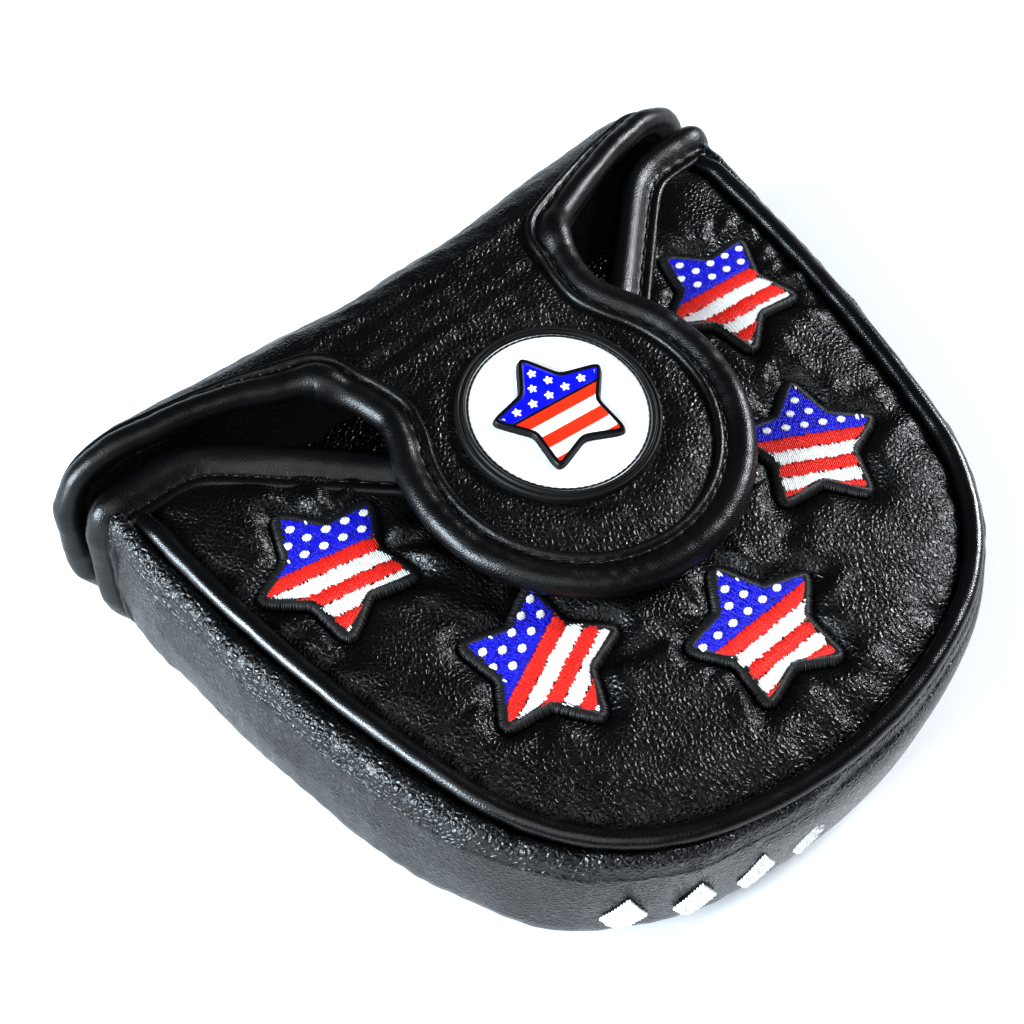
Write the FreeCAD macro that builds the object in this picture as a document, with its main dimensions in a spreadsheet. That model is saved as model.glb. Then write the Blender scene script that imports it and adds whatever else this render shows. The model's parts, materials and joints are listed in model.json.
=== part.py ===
"""Mallet putter head cover: a D-shaped padded pouch with a magnetic wrap-over flap.

Frame, in millimetres: +Z up, +X from heel to toe, +Y towards the mouth, where the putter goes in.
The origin is under the middle of the cover, on the surface that it lies on.  The pouch is the body that
rests; the flap turns at its lower front edge, and the tongue turns at the flap's shoulder.
"""

import FreeCAD, Part
import math
import os
import Sketcher

SIZES = (
    ("half_width", 57.5, "half the width of the top seam at the mouth"),
    ("seam_depth", 96.0, "from the mouth line back to the top seam"),
    ("mouth_y", 43.25, "Y of the mouth line"),
    ("side_radius", 250.0, "long arc of the outline's sides"),
    ("corner_radius", 37.0, "arc of the outline's back corners"),
    ("back_radius", 74.0, "arc across the outline's back"),
    ("height_mouth", 34.5, "top seam height at the mouth"),
    ("height_back", 29.0, "top seam height at the back"),
    ("reach", 90.0, "half length of the slab that trims the sloping top"),
    ("tall", 60.0, "blocks are padded to here before they are trimmed"),
    ("band_out", 4.5, "how far the side band stands outside the top seam"),
    ("leather", 1.2, "pebbled leather"),
    ("foam", 2.0, "foam behind the leather"),
    ("plush", 1.8, "plush lining"),
    ("under_radius", 10.0, "rounding of the side band into the bottom"),
    ("shoulder_radius", 3.0, "rounding of the side band into the top seam"),
    ("floor_inset", 5.5, "bottom panel's edge inside the top seam line"),
    ("front_tab", 7.6, "how far the bottom panel runs out of the mouth"),
    ("seam_gap", 1.7, "half the width of the groove that holds the piping"),
    ("piping_wide", 1.5, "piping radius"),
    ("piping_core", 0.85, "radius of the cord inside the piping"),
    ("roll_mouth", 2.6, "radius of the mouth binding"),
    ("roll_flap", 2.2, "radius of the flap and tongue bindings"),
    ("scoop_deep", 25.0, "depth of the scoop in the top panel's front edge"),
    ("scoop_flat", 17.5, "half the width of the scoop's floor"),
    ("scoop_open", 47.0, "half the width of the scoop at the mouth line"),
    ("scoop_round", 14.0, "rounding of the scoop's four corners"),
    ("flap_half", 63.6, "half the width of the flap"),
    ("flap_out", 14.0, "flap's front face ahead of the mouth line"),
    ("flap_edge", 6.0, "bound edge of the flap ahead of the mouth line"),
    ("flap_roof", 40.2, "top of the flap's shoulder"),
    ("flap_foot", 0.8, "bottom edge of the flap"),
    ("flap_shoulder", 14.0, "rounding of the flap from front to top"),
    ("flap_end", 12.0, "rounding of the flap from top to ends"),
    ("flap_foam", 1.8, "foam in the flap"),
    ("flap_lining", 1.0, "lining of the flap"),
    ("neck_half", 22.0, "half the width of the tongue's neck"),
    ("tongue_radius", 28.0, "outer radius of the tongue's round end"),
    ("tongue_centre", 34.5, "round end's centre behind the mouth line"),
    ("tongue_lift", 2.5, "tongue's underside above the seam plane"),
    ("tongue_lining", 0.8, "lining under the tongue"),
    ("tongue_foam", 1.4, "foam in the tongue"),
    ("tongue_leather", 1.0, "leather on the tongue"),
    ("fold_gap", 0.8, "room for the fold between flap and tongue"),
    ("neck_round", 20.0, "hollow curve from the neck into the round end"),
    ("badge_centre", 30.8, "badge's centre behind the mouth line"),
    ("badge_radius", 15.6, "moulded badge"),
    ("badge_thick", 1.6, "moulded badge"),
    ("face_radius", 13.6, "white face in the badge"),
    ("face_thick", 0.7, "white face in the badge"),
    ("face_sunk", 0.9, "depth of the badge's recess"),
    ("badge_star", 10.4, "star on the badge, centre to point"),
    ("star_thick", 0.5, "star on the badge, and embroidery"),
    ("emblem_star", 12.5, "embroidered star, centre to point"),
    ("magnet_radius", 9.0, "closure magnets"),
    ("magnet_room", 9.2, "hole in the foam for a magnet"),
    ("magnet_thick", 1.0, "closure magnets"),
    ("patch_radius", 12.0, "fabric patch over a magnet"),
    ("patch_thick", 0.4, "fabric patch over a magnet"),
    ("keeper_centre", 40.6, "magnets' centre behind the mouth line"),
    ("stitch_in", 3.0, "stitches beside the middle of a binding"),
    ("motif_raise", 0.4, "embroidery on the side band"),
    ("motif_pitch", 9.4, "spacing of the diamonds on the side band"),
    ("motif_half", 3.2, "half the width of a diamond"),
    ("motif_centre", 14.0, "height of the diamonds' centres"),
)
STAR_INNER = 0.56            # inner corners of a star, as a share of its outer radius
EMBLEMS = ((-40.3, -29.0, 8.0), (-27.6, -57.6, 40.0), (0.6, -75.8, -6.0), (29.4, -56.4, -30.0),
           (41.0, -28.2, 14.0))   # X, distance ahead of the mouth line, turn in degrees
MOTIFS = 9                   # diamonds on the side band
STITCH_LONG, STITCH_WIDE, STITCH_TALL, STITCH_STEP = 2.2, 0.45, 0.3, 3.4
LEVEL = FreeCAD.Vector(0, 0, 1)

doc = FreeCAD.newDocument("putter_head_cover")
sheet = doc.addObject("Spreadsheet::Sheet", "Sheet")
for row, (alias, value, note) in enumerate(SIZES, 1):
    sheet.set(f"A{row}", alias)
    sheet.set(f"B{row}", str(value))
    sheet.set(f"C{row}", note)
    sheet.setAlias(f"B{row}", alias)
doc.recompute()
size = {alias: float(sheet.get(alias)) for alias, _, _ in SIZES}
rise = (size["height_mouth"] - size["height_back"]) / size["seam_depth"]
slope = math.degrees(math.atan(rise))


# ---------------------------------------------------------------- sums of sheet cells

def number(terms):
    """Value of a sum such as {"band_out": 1, "leather": -1}."""
    return sum(share * size[alias] for alias, share in terms.items())


def formula(terms):
    """The same sum as an expression on the sheet."""
    return " + ".join(f"({share}) * Sheet.{alias}" for alias, share in terms.items()) or "0"


def plus(*sums):
    """Adds up sums of cells."""
    out = {}
    for terms in sums:
        for alias, share in terms.items():
            out[alias] = out.get(alias, 0) + share
    return out


# ---------------------------------------------------------------- bodies and sketches

def new_body(name):
    body = doc.addObject("PartDesign::Body", name)
    body.Label = name
    return body


def new_sketch(body, plane, tag, lift=None):
    """A sketch on one of the body's own planes, raised along the plane's normal by a sum of cells."""
    sketch = body.newObject("Sketcher::SketchObject", f"{body.Name}_{tag}")
    support = next(f for f in body.Origin.OriginFeatures if f.Role == plane)
    sketch.AttachmentSupport = (support, [""])
    sketch.MapMode = "FlatFace"
    if lift:
        sketch.AttachmentOffset = FreeCAD.Placement(FreeCAD.Vector(0, 0, number(lift)), FreeCAD.Rotation())
        sketch.setExpression("AttachmentOffset.Base.z", formula(lift))
    return sketch


def bind(sketch, name, constraint, terms):
    """Adds a driven constraint, names it and ties it to a sum of cells."""
    index = sketch.addConstraint(constraint)
    sketch.renameConstraint(index, name)
    sketch.setExpression(f"Constraints.{name}", formula(terms))


def pin(sketch, geometry, end, name, x, y):
    """Places a point of the sketch at two sums of cells."""
    bind(sketch, f"{name}_x", Sketcher.Constraint("DistanceX", -1, 1, geometry, end, number(x)), x)
    bind(sketch, f"{name}_y", Sketcher.Constraint("DistanceY", -1, 1, geometry, end, number(y)), y)


def point(x, y):
    return FreeCAD.Vector(x, y, 0)


def arc(centre, radius, start, stop):
    return Part.ArcOfCircle(Part.Circle(centre, LEVEL, radius), start, stop)


def pad(body, sketch, tag, length):
    feature = body.newObject("PartDesign::Pad", f"{body.Name}_{tag}")
    feature.Profile = sketch
    feature.setExpression("Length", formula(length))
    sketch.Visibility = False
    return feature


def pocket(body, sketch, tag, length=None, up=True, both=False):
    """Cuts a sketch out of the body: upwards or downwards by a length, or both ways through everything."""
    feature = body.newObject("PartDesign::Pocket", f"{body.Name}_{tag}")
    feature.Profile = sketch
    feature.Reversed = up
    if both:
        feature.Midplane = True
    if length is None:
        feature.Type = "ThroughAll"
    else:
        feature.setExpression("Length", formula(length))
    return feature


def fillet(body, base, tag, edges, radius):
    feature = body.newObject("PartDesign::Fillet", f"{body.Name}_{tag}")
    feature.Base = (base, edges)
    feature.setExpression("Radius", formula(radius))
    return feature


def edges_where(feature, test):
    """Names of the feature's edges whose middle passes a test."""
    names = []
    for index, edge in enumerate(feature.Shape.Edges, 1):
        if test(edge.CenterOfMass, edge):
            names.append(f"Edge{index}")
    return names


# ---------------------------------------------------------------- the D outline

def outline_arcs(offset=0.0, mouth=0.0):
    """Five tangent arcs from the mouth's left end round the back to its right end, and the two ends' points."""
    side, corner, back = (size[k] + offset for k in ("side_radius", "corner_radius", "back_radius"))
    top = size["mouth_y"]
    reach_in = size["side_radius"] - size["half_width"]
    side_centre = point(reach_in, top)
    back_centre = point(0, top - size["seam_depth"] + size["back_radius"])
    near, far = side - corner, back - corner
    gap = back_centre - side_centre
    along = (near ** 2 - far ** 2 + gap.Length ** 2) / (2 * gap.Length)
    across = math.sqrt(near ** 2 - along ** 2)
    forward = FreeCAD.Vector(gap).normalize()
    corner_centre = side_centre + forward * along - FreeCAD.Vector(forward.y, -forward.x, 0) * across
    lead = math.asin(mouth / side)
    first = math.atan2(corner_centre.y - side_centre.y, corner_centre.x - side_centre.x) % (2 * math.pi)
    second = math.atan2(corner_centre.y - back_centre.y, corner_centre.x - back_centre.x) % (2 * math.pi)
    flip = 3 * math.pi
    return (
        (side_centre, side, math.pi - lead, first),
        (corner_centre, corner, first, second),
        (back_centre, back, second, flip - second),
        (point(-corner_centre.x, corner_centre.y), corner, flip - second, flip - first),
        (point(-side_centre.x, top), side, flip - first, 2 * math.pi + lead),
    )


def draw_outline(sketch, offset, mouth=None, closed=True):
    """Draws the outline at an offset from the top seam, with its mouth line ahead by a sum of cells."""
    mouth = mouth or {}
    arcs = outline_arcs(number(offset), number(mouth))
    for centre, radius, start, stop in arcs:
        sketch.addGeometry(arc(centre, radius, start, stop), False)
    for first in range(4):
        sketch.addConstraint(Sketcher.Constraint("Tangent", first, 2, first + 1, 1))
    radii = [plus({alias: 1}, offset) for alias in ("side_radius", "corner_radius", "back_radius")]
    for index, (name, terms) in enumerate(zip(("side", "corner", "back"), radii)):
        bind(sketch, name, Sketcher.Constraint("Radius", index, number(terms)), terms)
    sketch.addConstraint(Sketcher.Constraint("Equal", 1, 3))
    sketch.addConstraint(Sketcher.Constraint("Equal", 0, 4))
    pin(sketch, 0, 3, "left", {"side_radius": 1, "half_width": -1}, {"mouth_y": 1})
    pin(sketch, 4, 3, "right", {"side_radius": -1, "half_width": 1}, {"mouth_y": 1})
    sketch.addConstraint(Sketcher.Constraint("PointOnObject", 2, 3, -2))
    depth = {"mouth_y": 1, "seam_depth": -1, "back_radius": 1}
    bind(sketch, "deep", Sketcher.Constraint("DistanceY", -1, 1, 2, 3, number(depth)), depth)
    line_y = plus({"mouth_y": 1}, mouth)
    if closed:
        ends = [arc(*arcs[4]).EndPoint, arc(*arcs[0]).StartPoint]
        sketch.addGeometry(Part.LineSegment(*ends), False)
        sketch.addConstraint(Sketcher.Constraint("Coincident", 4, 2, 5, 1))
        sketch.addConstraint(Sketcher.Constraint("Coincident", 5, 2, 0, 1))
        sketch.addConstraint(Sketcher.Constraint("Horizontal", 5))
        bind(sketch, "mouth", Sketcher.Constraint("DistanceY", -1, 1, 5, 1, number(line_y)), line_y)
    else:
        for index, end in ((0, 1), (4, 2)):
            name = f"mouth_{index}"
            bind(sketch, name, Sketcher.Constraint("DistanceY", -1, 1, index, end, number(line_y)), line_y)


def prism(name, offset, bottom, length, mouth=None):
    """An upright block of the D outline."""
    body = new_body(name)
    sketch = new_sketch(body, "XY_Plane", "outline", bottom)
    draw_outline(sketch, offset, mouth)
    pad(body, sketch, "block", length)
    return body


def draw_polygon(sketch, corners):
    """A closed polygon; each corner is a pair of sums of cells."""
    places = [point(number(x), number(y)) for x, y in corners]
    count = len(places)
    for index in range(count):
        sketch.addGeometry(Part.LineSegment(places[index], places[(index + 1) % count]), False)
    for index in range(count):
        sketch.addConstraint(Sketcher.Constraint("Coincident", index, 2, (index + 1) % count, 1))
    for index, (x, y) in enumerate(corners):
        pin(sketch, index, 1, f"corner_{index}", x, y)


def trim_top(body, above):
    """Cuts the body off above the sloping seam plane raised by a number of millimetres held in a cell sum."""
    sketch = new_sketch(body, "YZ_Plane", "slope")
    low = {"height_mouth": 1}
    places = []
    for side in (-1, 1):
        drop = (size["mouth_y"] - side * size["reach"]) * rise
        places.append(point(side * size["reach"], number(plus(low, above)) - drop))
    top = number({"tall": 2})
    ring = [places[0], places[1], point(size["reach"], top), point(-size["reach"], top)]
    for index in range(4):
        sketch.addGeometry(Part.LineSegment(ring[index], ring[(index + 1) % 4]), False)
    for index in range(4):
        sketch.addConstraint(Sketcher.Constraint("Coincident", index, 2, (index + 1) % 4, 1))
    for index in (1, 3):
        sketch.addConstraint(Sketcher.Constraint("Vertical", index))
    sketch.addConstraint(Sketcher.Constraint("Horizontal", 2))
    pin(sketch, 3, 1, "high", {"reach": -1}, {"tall": 2})
    bind(sketch, "far", Sketcher.Constraint("DistanceX", -1, 1, 1, 1, size["reach"]), {"reach": 1})
    grade = "(Sheet.height_mouth - Sheet.height_back) / Sheet.seam_depth"
    for index, side in ((0, -1), (1, 1)):
        name = f"edge_{index}"
        constraint = sketch.addConstraint(Sketcher.Constraint("DistanceY", -1, 1, index, 1, places[index].y))
        sketch.renameConstraint(constraint, name)
        expression = (f"Sheet.height_mouth + {formula(above)}"
                      f" - (Sheet.mouth_y - ({side}) * Sheet.reach) * {grade}")
        sketch.setExpression(f"Constraints.{name}", expression)
    return pocket(body, sketch, "slope_cut", both=True)


# ---------------------------------------------------------------- booleans between bodies

def cut(name, base, tool):
    feature = doc.addObject("Part::Cut", name)
    feature.Base, feature.Tool = base, tool
    feature.Label = name
    return feature


def common(name, *shapes):
    feature = doc.addObject("Part::MultiCommon", name)
    feature.Shapes = list(shapes)
    feature.Label = name
    return feature


def in_seam_plane(body, x=0.0, ahead=0.0, up=0.0, turn=0.0):
    """Lays a body drawn in its own XY plane onto the sloping seam plane, at a place measured from the mouth line."""
    tilt = FreeCAD.Rotation(FreeCAD.Vector(1, 0, 0), slope)
    middle = FreeCAD.Vector(0, size["mouth_y"], size["height_mouth"])
    place = middle + tilt.multVec(FreeCAD.Vector(x, ahead, up))
    body.Placement = FreeCAD.Placement(place, tilt.multiply(FreeCAD.Rotation(LEVEL, turn)))


# ---------------------------------------------------------------- pipes

def pipe(name, plane, tag, draw, radius, core=None, lift=None, start=None, at=None):
    """A round bar swept along a path drawn on one plane; `start` and `at` say where its circle sits."""
    body = new_body(name)
    path = new_sketch(body, plane, f"{tag}_path", lift)
    draw(path)
    path.Visibility = False
    ring = new_sketch(body, start[0], f"{tag}_ring", start[1])
    ring.addGeometry(Part.Circle(point(number(at[0]), number(at[1])), LEVEL, number(radius)), False)
    bind(ring, "radius", Sketcher.Constraint("Radius", 0, number(radius)), radius)
    pin(ring, 0, 3, "middle", *at)
    if core:
        ring.addGeometry(Part.Circle(point(number(at[0]), number(at[1])), LEVEL, number(core)), False)
        bind(ring, "core", Sketcher.Constraint("Radius", 1, number(core)), core)
        ring.addConstraint(Sketcher.Constraint("Coincident", 1, 3, 0, 3))
    doc.recompute()
    feature = body.newObject("PartDesign::AdditivePipe", f"{name}_{tag}")
    feature.Profile = ring
    feature.Spine = (path, [f"Edge{n}" for n in range(1, len(path.Shape.Edges) + 1)])
    feature.Mode = "Frenet"
    doc.recompute()
    return body


def rounded_path(sketch, corners, radii):
    """An open path through corners, each inner corner rounded by its own sum of cells."""
    places = [point(number(x), number(y)) for x, y in corners]
    legs = len(places) - 1
    for index in range(legs):
        guide = sketch.addGeometry(Part.LineSegment(places[index], places[index + 1]), True)
        if index:
            sketch.addConstraint(Sketcher.Constraint("Coincident", guide - 1, 2, guide, 1))
    for index, (x, y) in enumerate(corners[:-1]):
        pin(sketch, index, 1, f"corner_{index}", x, y)
    pin(sketch, legs - 1, 2, "corner_end", *corners[-1])
    starts, ends, bends = [places[0]], [], []
    for index in range(1, legs):
        before = (places[index - 1] - places[index]).normalize()
        after = (places[index + 1] - places[index]).normalize()
        half = before.getAngle(after) / 2
        radius = number(radii[index - 1])
        reach = radius / math.tan(half)
        centre = places[index] + (before + after).normalize() * (radius / math.sin(half))
        enter, leave = places[index] + before * reach, places[index] + after * reach
        left_turn = before.y * after.x - before.x * after.y > 0
        first, last = (enter, leave) if left_turn else (leave, enter)
        angles = [math.atan2(p.y - centre.y, p.x - centre.x) % (2 * math.pi) for p in (first, last)]
        if angles[1] < angles[0]:
            angles[1] += 2 * math.pi
        bends.append((centre, radius, angles, left_turn))
        ends.append(enter)
        starts.append(leave)
    ends.append(places[-1])
    lines = [sketch.addGeometry(Part.LineSegment(a, b), False) for a, b in zip(starts, ends)]
    for index, line in enumerate(lines):
        if index == 0:
            sketch.addConstraint(Sketcher.Constraint("Coincident", line, 1, 0, 1))
        else:
            sketch.addConstraint(Sketcher.Constraint("PointOnObject", line, 1, index))
        if index == legs - 1:
            sketch.addConstraint(Sketcher.Constraint("Coincident", line, 2, index, 2))
        else:
            sketch.addConstraint(Sketcher.Constraint("PointOnObject", line, 2, index))
    for index, (centre, radius, angles, left_turn) in enumerate(bends):
        bend = sketch.addGeometry(arc(centre, radius, *angles), False)
        enter, leave = (1, 2) if left_turn else (2, 1)
        sketch.addConstraint(Sketcher.Constraint("Tangent", lines[index], 2, bend, enter))
        sketch.addConstraint(Sketcher.Constraint("Tangent", bend, leave, lines[index + 1], 1))
        bind(sketch, f"bend_{index}", Sketcher.Constraint("Radius", bend, radius), radii[index])


def lay(body, up):
    """Tips a body drawn in global X and Y about the mouth line, onto the seam plane raised by some millimetres."""
    tilt = FreeCAD.Rotation(FreeCAD.Vector(1, 0, 0), slope)
    line = FreeCAD.Vector(0, size["mouth_y"], 0)
    lifted = line + FreeCAD.Vector(0, 0, size["height_mouth"]) + tilt.multVec(FreeCAD.Vector(0, 0, up))
    body.Placement = FreeCAD.Placement(lifted - tilt.multVec(line), tilt)


# ---------------------------------------------------------------- pouch

layers = ("leather", "foam", "plush")
handed_in = []


def cup(index):
    """The pouch's solid outer form after the first `index` layers are peeled off."""
    peeled = {alias: -1 for alias in layers[:index]}
    raised = {alias: 1 for alias in layers[:index]}
    mouth = {"front_tab": 1} if index else {}
    body = prism(f"cup_{index}", plus({"band_out": 1}, peeled), raised, {"tall": 1}, mouth)
    doc.recompute()
    floor = number(raised)
    line = size["mouth_y"] + number(mouth)
    block = body.Tip
    rim = edges_where(block, lambda c, e: abs(c.z - floor) < 1e-3 and abs(c.y - line) > 0.5)
    fillet(body, block, "under", rim, plus({"under_radius": 1}, peeled))
    lowered = {alias: -1.0 for alias in layers[:index]}
    trim_top(body, plus({"leather": 0.5}, lowered))
    return body


cups = [cup(index) for index in range(4)]
doc.recompute()
crown = edges_where(cups[0].Tip, lambda c, e: c.z > 25 and c.y < size["mouth_y"] - 1)
fillet(cups[0], cups[0].Tip, "shoulder", crown, {"shoulder_radius": 1})

half_height = {"height_back": 0.5}
floor_hole = prism("floor_hole", {"floor_inset": -1}, {"leather": -1}, {"under_radius": 1}, {"front_tab": 1})
behind = prism("behind_mouth", {"band_out": 3}, {"leather": -1}, {"tall": 1})
behind_sides = prism("behind_sides", {"band_out": 3}, {"leather": -1}, {"tall": 1}, {"roll_mouth": -1.02})
scoop = new_body("scoop")
scoop_sketch = new_sketch(scoop, "XY_Plane", "shape", half_height)
ahead = {"mouth_y": 1, "front_tab": 2}
floor_line = {"mouth_y": 1, "scoop_deep": -1}
draw_polygon(scoop_sketch, (
    ({"scoop_open": -1}, {"mouth_y": 1}),
    ({"scoop_flat": -1}, floor_line),
    ({"scoop_flat": 1}, floor_line),
    ({"scoop_open": 1}, {"mouth_y": 1}),
    ({"scoop_open": 1}, ahead),
    ({"scoop_open": -1}, ahead),
))
scoop_block = pad(scoop, scoop_sketch, "block", {"tall": 1})
doc.recompute()
inner = edges_where(scoop_block, lambda c, e: abs(abs(c.x) - size["scoop_flat"]) < 1e-3
                    and abs(c.y - number(floor_line)) < 1e-3 and e.Length > 30)
fillet(scoop, scoop_block, "round", inner, {"scoop_round": 1})

# The mouth binding: one bar round the scoop in the sloping top, and one down each side of the mouth.
wall_line = {"half_width": 1, "band_out": 1, "roll_mouth": -0.8}
wall_minus = {alias: -share for alias, share in wall_line.items()}
lip = pipe("scoop_lip", "XY_Plane", "lip", lambda sketch: rounded_path(sketch, (
    (wall_minus, {"mouth_y": 1}),
    ({"scoop_open": -1}, {"mouth_y": 1}),
    ({"scoop_flat": -1}, floor_line),
    ({"scoop_flat": 1}, floor_line),
    ({"scoop_open": 1}, {"mouth_y": 1}),
    (wall_line, {"mouth_y": 1}),
), [{"scoop_round": 0.5}, {"scoop_round": 1}, {"scoop_round": 1}, {"scoop_round": 0.5}]),
    {"roll_mouth": 1}, start=("YZ_Plane", wall_minus), at=({"mouth_y": 1}, {}))
lay(lip, -number({"leather": 1}))
high = {"height_mouth": 1, "leather": -1}
low = {"roll_mouth": 1.05}
foot = {"half_width": 1, "floor_inset": -1}
jamb = pipe("jamb_right", "XZ_Plane", "jamb",
            lambda sketch: rounded_path(sketch, ((wall_line, high), (wall_line, low), (foot, low)),
                                        [{"under_radius": 0.8}]),
            {"roll_mouth": 1}, lift={"mouth_y": -1}, start=("XY_Plane", high), at=(wall_line, {"mouth_y": 1}))
knuckle = doc.addObject("Part::Sphere", "knuckle_right")
knuckle.setExpression("Radius", "Sheet.roll_mouth * 1.03")
knuckle.setExpression("Placement.Base.x", formula(wall_line))
knuckle.setExpression("Placement.Base.y", "Sheet.mouth_y")
knuckle.setExpression("Placement.Base.z", formula(high))
right_side = doc.addObject("Part::Fuse", "mouth_side_right")
right_side.Base, right_side.Tool = jamb, knuckle
left_side = doc.addObject("Part::Mirroring", "mouth_side_left")
left_side.Source = right_side
left_side.Normal = FreeCAD.Vector(1, 0, 0)
jambs = [left_side, right_side]
mouth_binding = doc.addObject("Part::MultiFuse", "mouth_binding")
mouth_binding.Shapes = [lip] + jambs
handed_in.append(mouth_binding)

piping = pipe("top_piping", "XY_Plane", "cover",
              lambda sketch: draw_outline(sketch, {}, {"roll_mouth": -1.05}, closed=False),
              {"piping_wide": 1}, {"piping_core": 1}, start=("XZ_Plane", {"mouth_y": -1, "roll_mouth": 1.05}),
              at=({"half_width": -1}, {}))
cord = pipe("top_piping_cord", "XY_Plane", "cord",
            lambda sketch: draw_outline(sketch, {}, {"roll_mouth": -1.05}, closed=False),
            {"piping_core": 1}, start=("XZ_Plane", {"mouth_y": -1, "roll_mouth": 1.05}),
            at=({"half_width": -1}, {}))
for bar in (piping, cord):
    lay(bar, number({"piping_wide": 1, "leather": -0.5}) + 0.02)
    handed_in.append(bar)


def disc(name, radius, thick, ahead_of, up, hole=None):
    """A round plate lying in the seam plane."""
    body = new_body(name)
    sketch = new_sketch(body, "XY_Plane", "disc")
    sketch.addGeometry(Part.Circle(point(0, 0), LEVEL, number(radius)), False)
    bind(sketch, "radius", Sketcher.Constraint("Radius", 0, number(radius)), radius)
    sketch.addConstraint(Sketcher.Constraint("Coincident", 0, 3, -1, 1))
    if hole:
        sketch.addGeometry(Part.Circle(point(0, 0), LEVEL, number(hole)), False)
        bind(sketch, "hole", Sketcher.Constraint("Radius", 1, number(hole)), hole)
        sketch.addConstraint(Sketcher.Constraint("Coincident", 1, 3, -1, 1))
    pad(body, sketch, "plate", thick)
    in_seam_plane(body, ahead=-number(ahead_of), up=number(up))
    return body


panel_back = {"leather": -0.5, "foam": -1}
tongue_back = {"tongue_lift": 1, "tongue_lining": 1}
both_thick = {"magnet_thick": 1, "patch_thick": 1.1}
panel_seat = {"leather": -0.49, "foam": -1}
centre = {"keeper_centre": 1}
rooms = [disc("panel_room", {"magnet_room": 1}, both_thick, centre, panel_back),
         disc("panel_patch_room", {"patch_radius": 1.01}, {"patch_thick": 1.1}, centre, panel_back)]
panel_rooms = doc.addObject("Part::MultiFuse", "panel_rooms")
panel_rooms.Shapes = rooms
handed_in += [
    disc("panel_patch", {"patch_radius": 1}, {"patch_thick": 1}, centre, panel_seat),
    disc("panel_magnet", {"magnet_radius": 1}, {"magnet_thick": 1}, centre,
         plus(panel_seat, {"patch_thick": 1}))]

shells = [cut(f"shell_{index}", cups[index], cups[index + 1]) for index in range(3)]
back_in = plus({"band_out": 1, "leather": -1, "foam": -1})
lids = ({"seam_gap": -1}, back_in, plus(back_in, {"plush": -1}))
wells = ({"seam_gap": 1}, back_in, plus(back_in, {"plush": -1}))
for index, (top_name, side_name) in enumerate((("top_panel", "side_band"), ("top_foam", "side_band_foam"),
                                               ("top_lining", "side_band_lining"))):
    kept = common(f"kept_{index}", shells[index], behind)
    lid = prism(f"lid_{index}", lids[index], half_height, {"tall": 1}, {"front_tab": 1})
    well = prism(f"well_{index}", wells[index], half_height, {"tall": 1}, {"front_tab": 2})
    plate = cut(f"plate_{index}", common(f"roof_{index}", kept, lid), scoop)
    if index == 1:
        plate = cut("plate_with_rooms", plate, panel_rooms)
    handed_in.append(cut(top_name, plate, mouth_binding))
    walls = cut(f"walls_{index}", common(f"sides_{index}", shells[index], behind_sides), well)
    handed_in.append(cut(side_name, walls, floor_hole))

handed_in.append(prism("bottom_panel", {"floor_inset": -1}, {}, {"leather": 1}, {"front_tab": 1}))
handed_in.append(prism("bottom_foam", {"floor_inset": -1}, {"leather": 1}, {"foam": 1}, {"roll_mouth": -1}))
handed_in.append(prism("bottom_lining", {"floor_inset": -1}, {"leather": 1, "foam": 1}, {"plush": 1},
                       {"roll_mouth": -1}))


# ---------------------------------------------------------------- stars

def star(name, radius, thick, x, ahead, up, turn):
    """A five-pointed star with straight sides, lying in the seam plane."""
    body = new_body(name)
    sketch = new_sketch(body, "XY_Plane", "star")
    corners = []
    for index in range(10):
        angle = math.radians(90 + 36 * index)
        reach = STAR_INNER if index % 2 else 1.0
        corners.append(({radius: round(reach * math.cos(angle), 6)}, {radius: round(reach * math.sin(angle), 6)}))
    draw_polygon(sketch, corners)
    pad(body, sketch, "plate", thick)
    in_seam_plane(body, x, ahead, up, turn)
    return body


for index, (x, ahead_of, turn) in enumerate(EMBLEMS, 1):
    handed_in.append(star(f"emblem_{index}", "emblem_star", {"star_thick": 1}, x, ahead_of,
                          number({"leather": 0.5}), turn))

# Diamonds sewn across the back of the side band.
rows = new_body("motif_rows")
motif_sketch = new_sketch(rows, "XZ_Plane", "diamonds")
for index in range(MOTIFS):
    step = index - (MOTIFS - 1) / 2
    x, z = step * size["motif_pitch"], size["motif_centre"]
    half = size["motif_half"]
    ring = [point(x - half, z), point(x, z - half), point(x + half, z), point(x, z + half)]
    base = 4 * index
    for leg in range(4):
        motif_sketch.addGeometry(Part.LineSegment(ring[leg], ring[(leg + 1) % 4]), False)
    for leg in range(4):
        motif_sketch.addConstraint(Sketcher.Constraint("Coincident", base + leg, 2, base + (leg + 1) % 4, 1))
    offsets = (({"motif_half": -1}, {}), ({}, {"motif_half": -1}), ({"motif_half": 1}, {}), ({}, {"motif_half": 1}))
    for leg, (dx, dz) in enumerate(offsets):
        pin(motif_sketch, base + leg, 1, f"diamond_{index}_{leg}",
            plus({"motif_pitch": step}, dx), plus({"motif_centre": 1}, dz))
pad(rows, motif_sketch, "diamonds", {"seam_depth": 1})
outside = prism("band_outside", {"band_out": 1, "motif_raise": 1}, {}, {"height_back": 1})
inside = prism("band_inside", {"band_out": 1}, {"leather": -1}, {"tall": 1}, {"front_tab": 1})
handed_in.append(common("band_embroidery", cut("band_skin", outside, inside), rows))

# ---------------------------------------------------------------- flap

flap_layers = (("flap_panel", {"leather": 1}), ("flap_foam", {"flap_foam": 1}), ("flap_lining", {"flap_lining": 1}))


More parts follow.
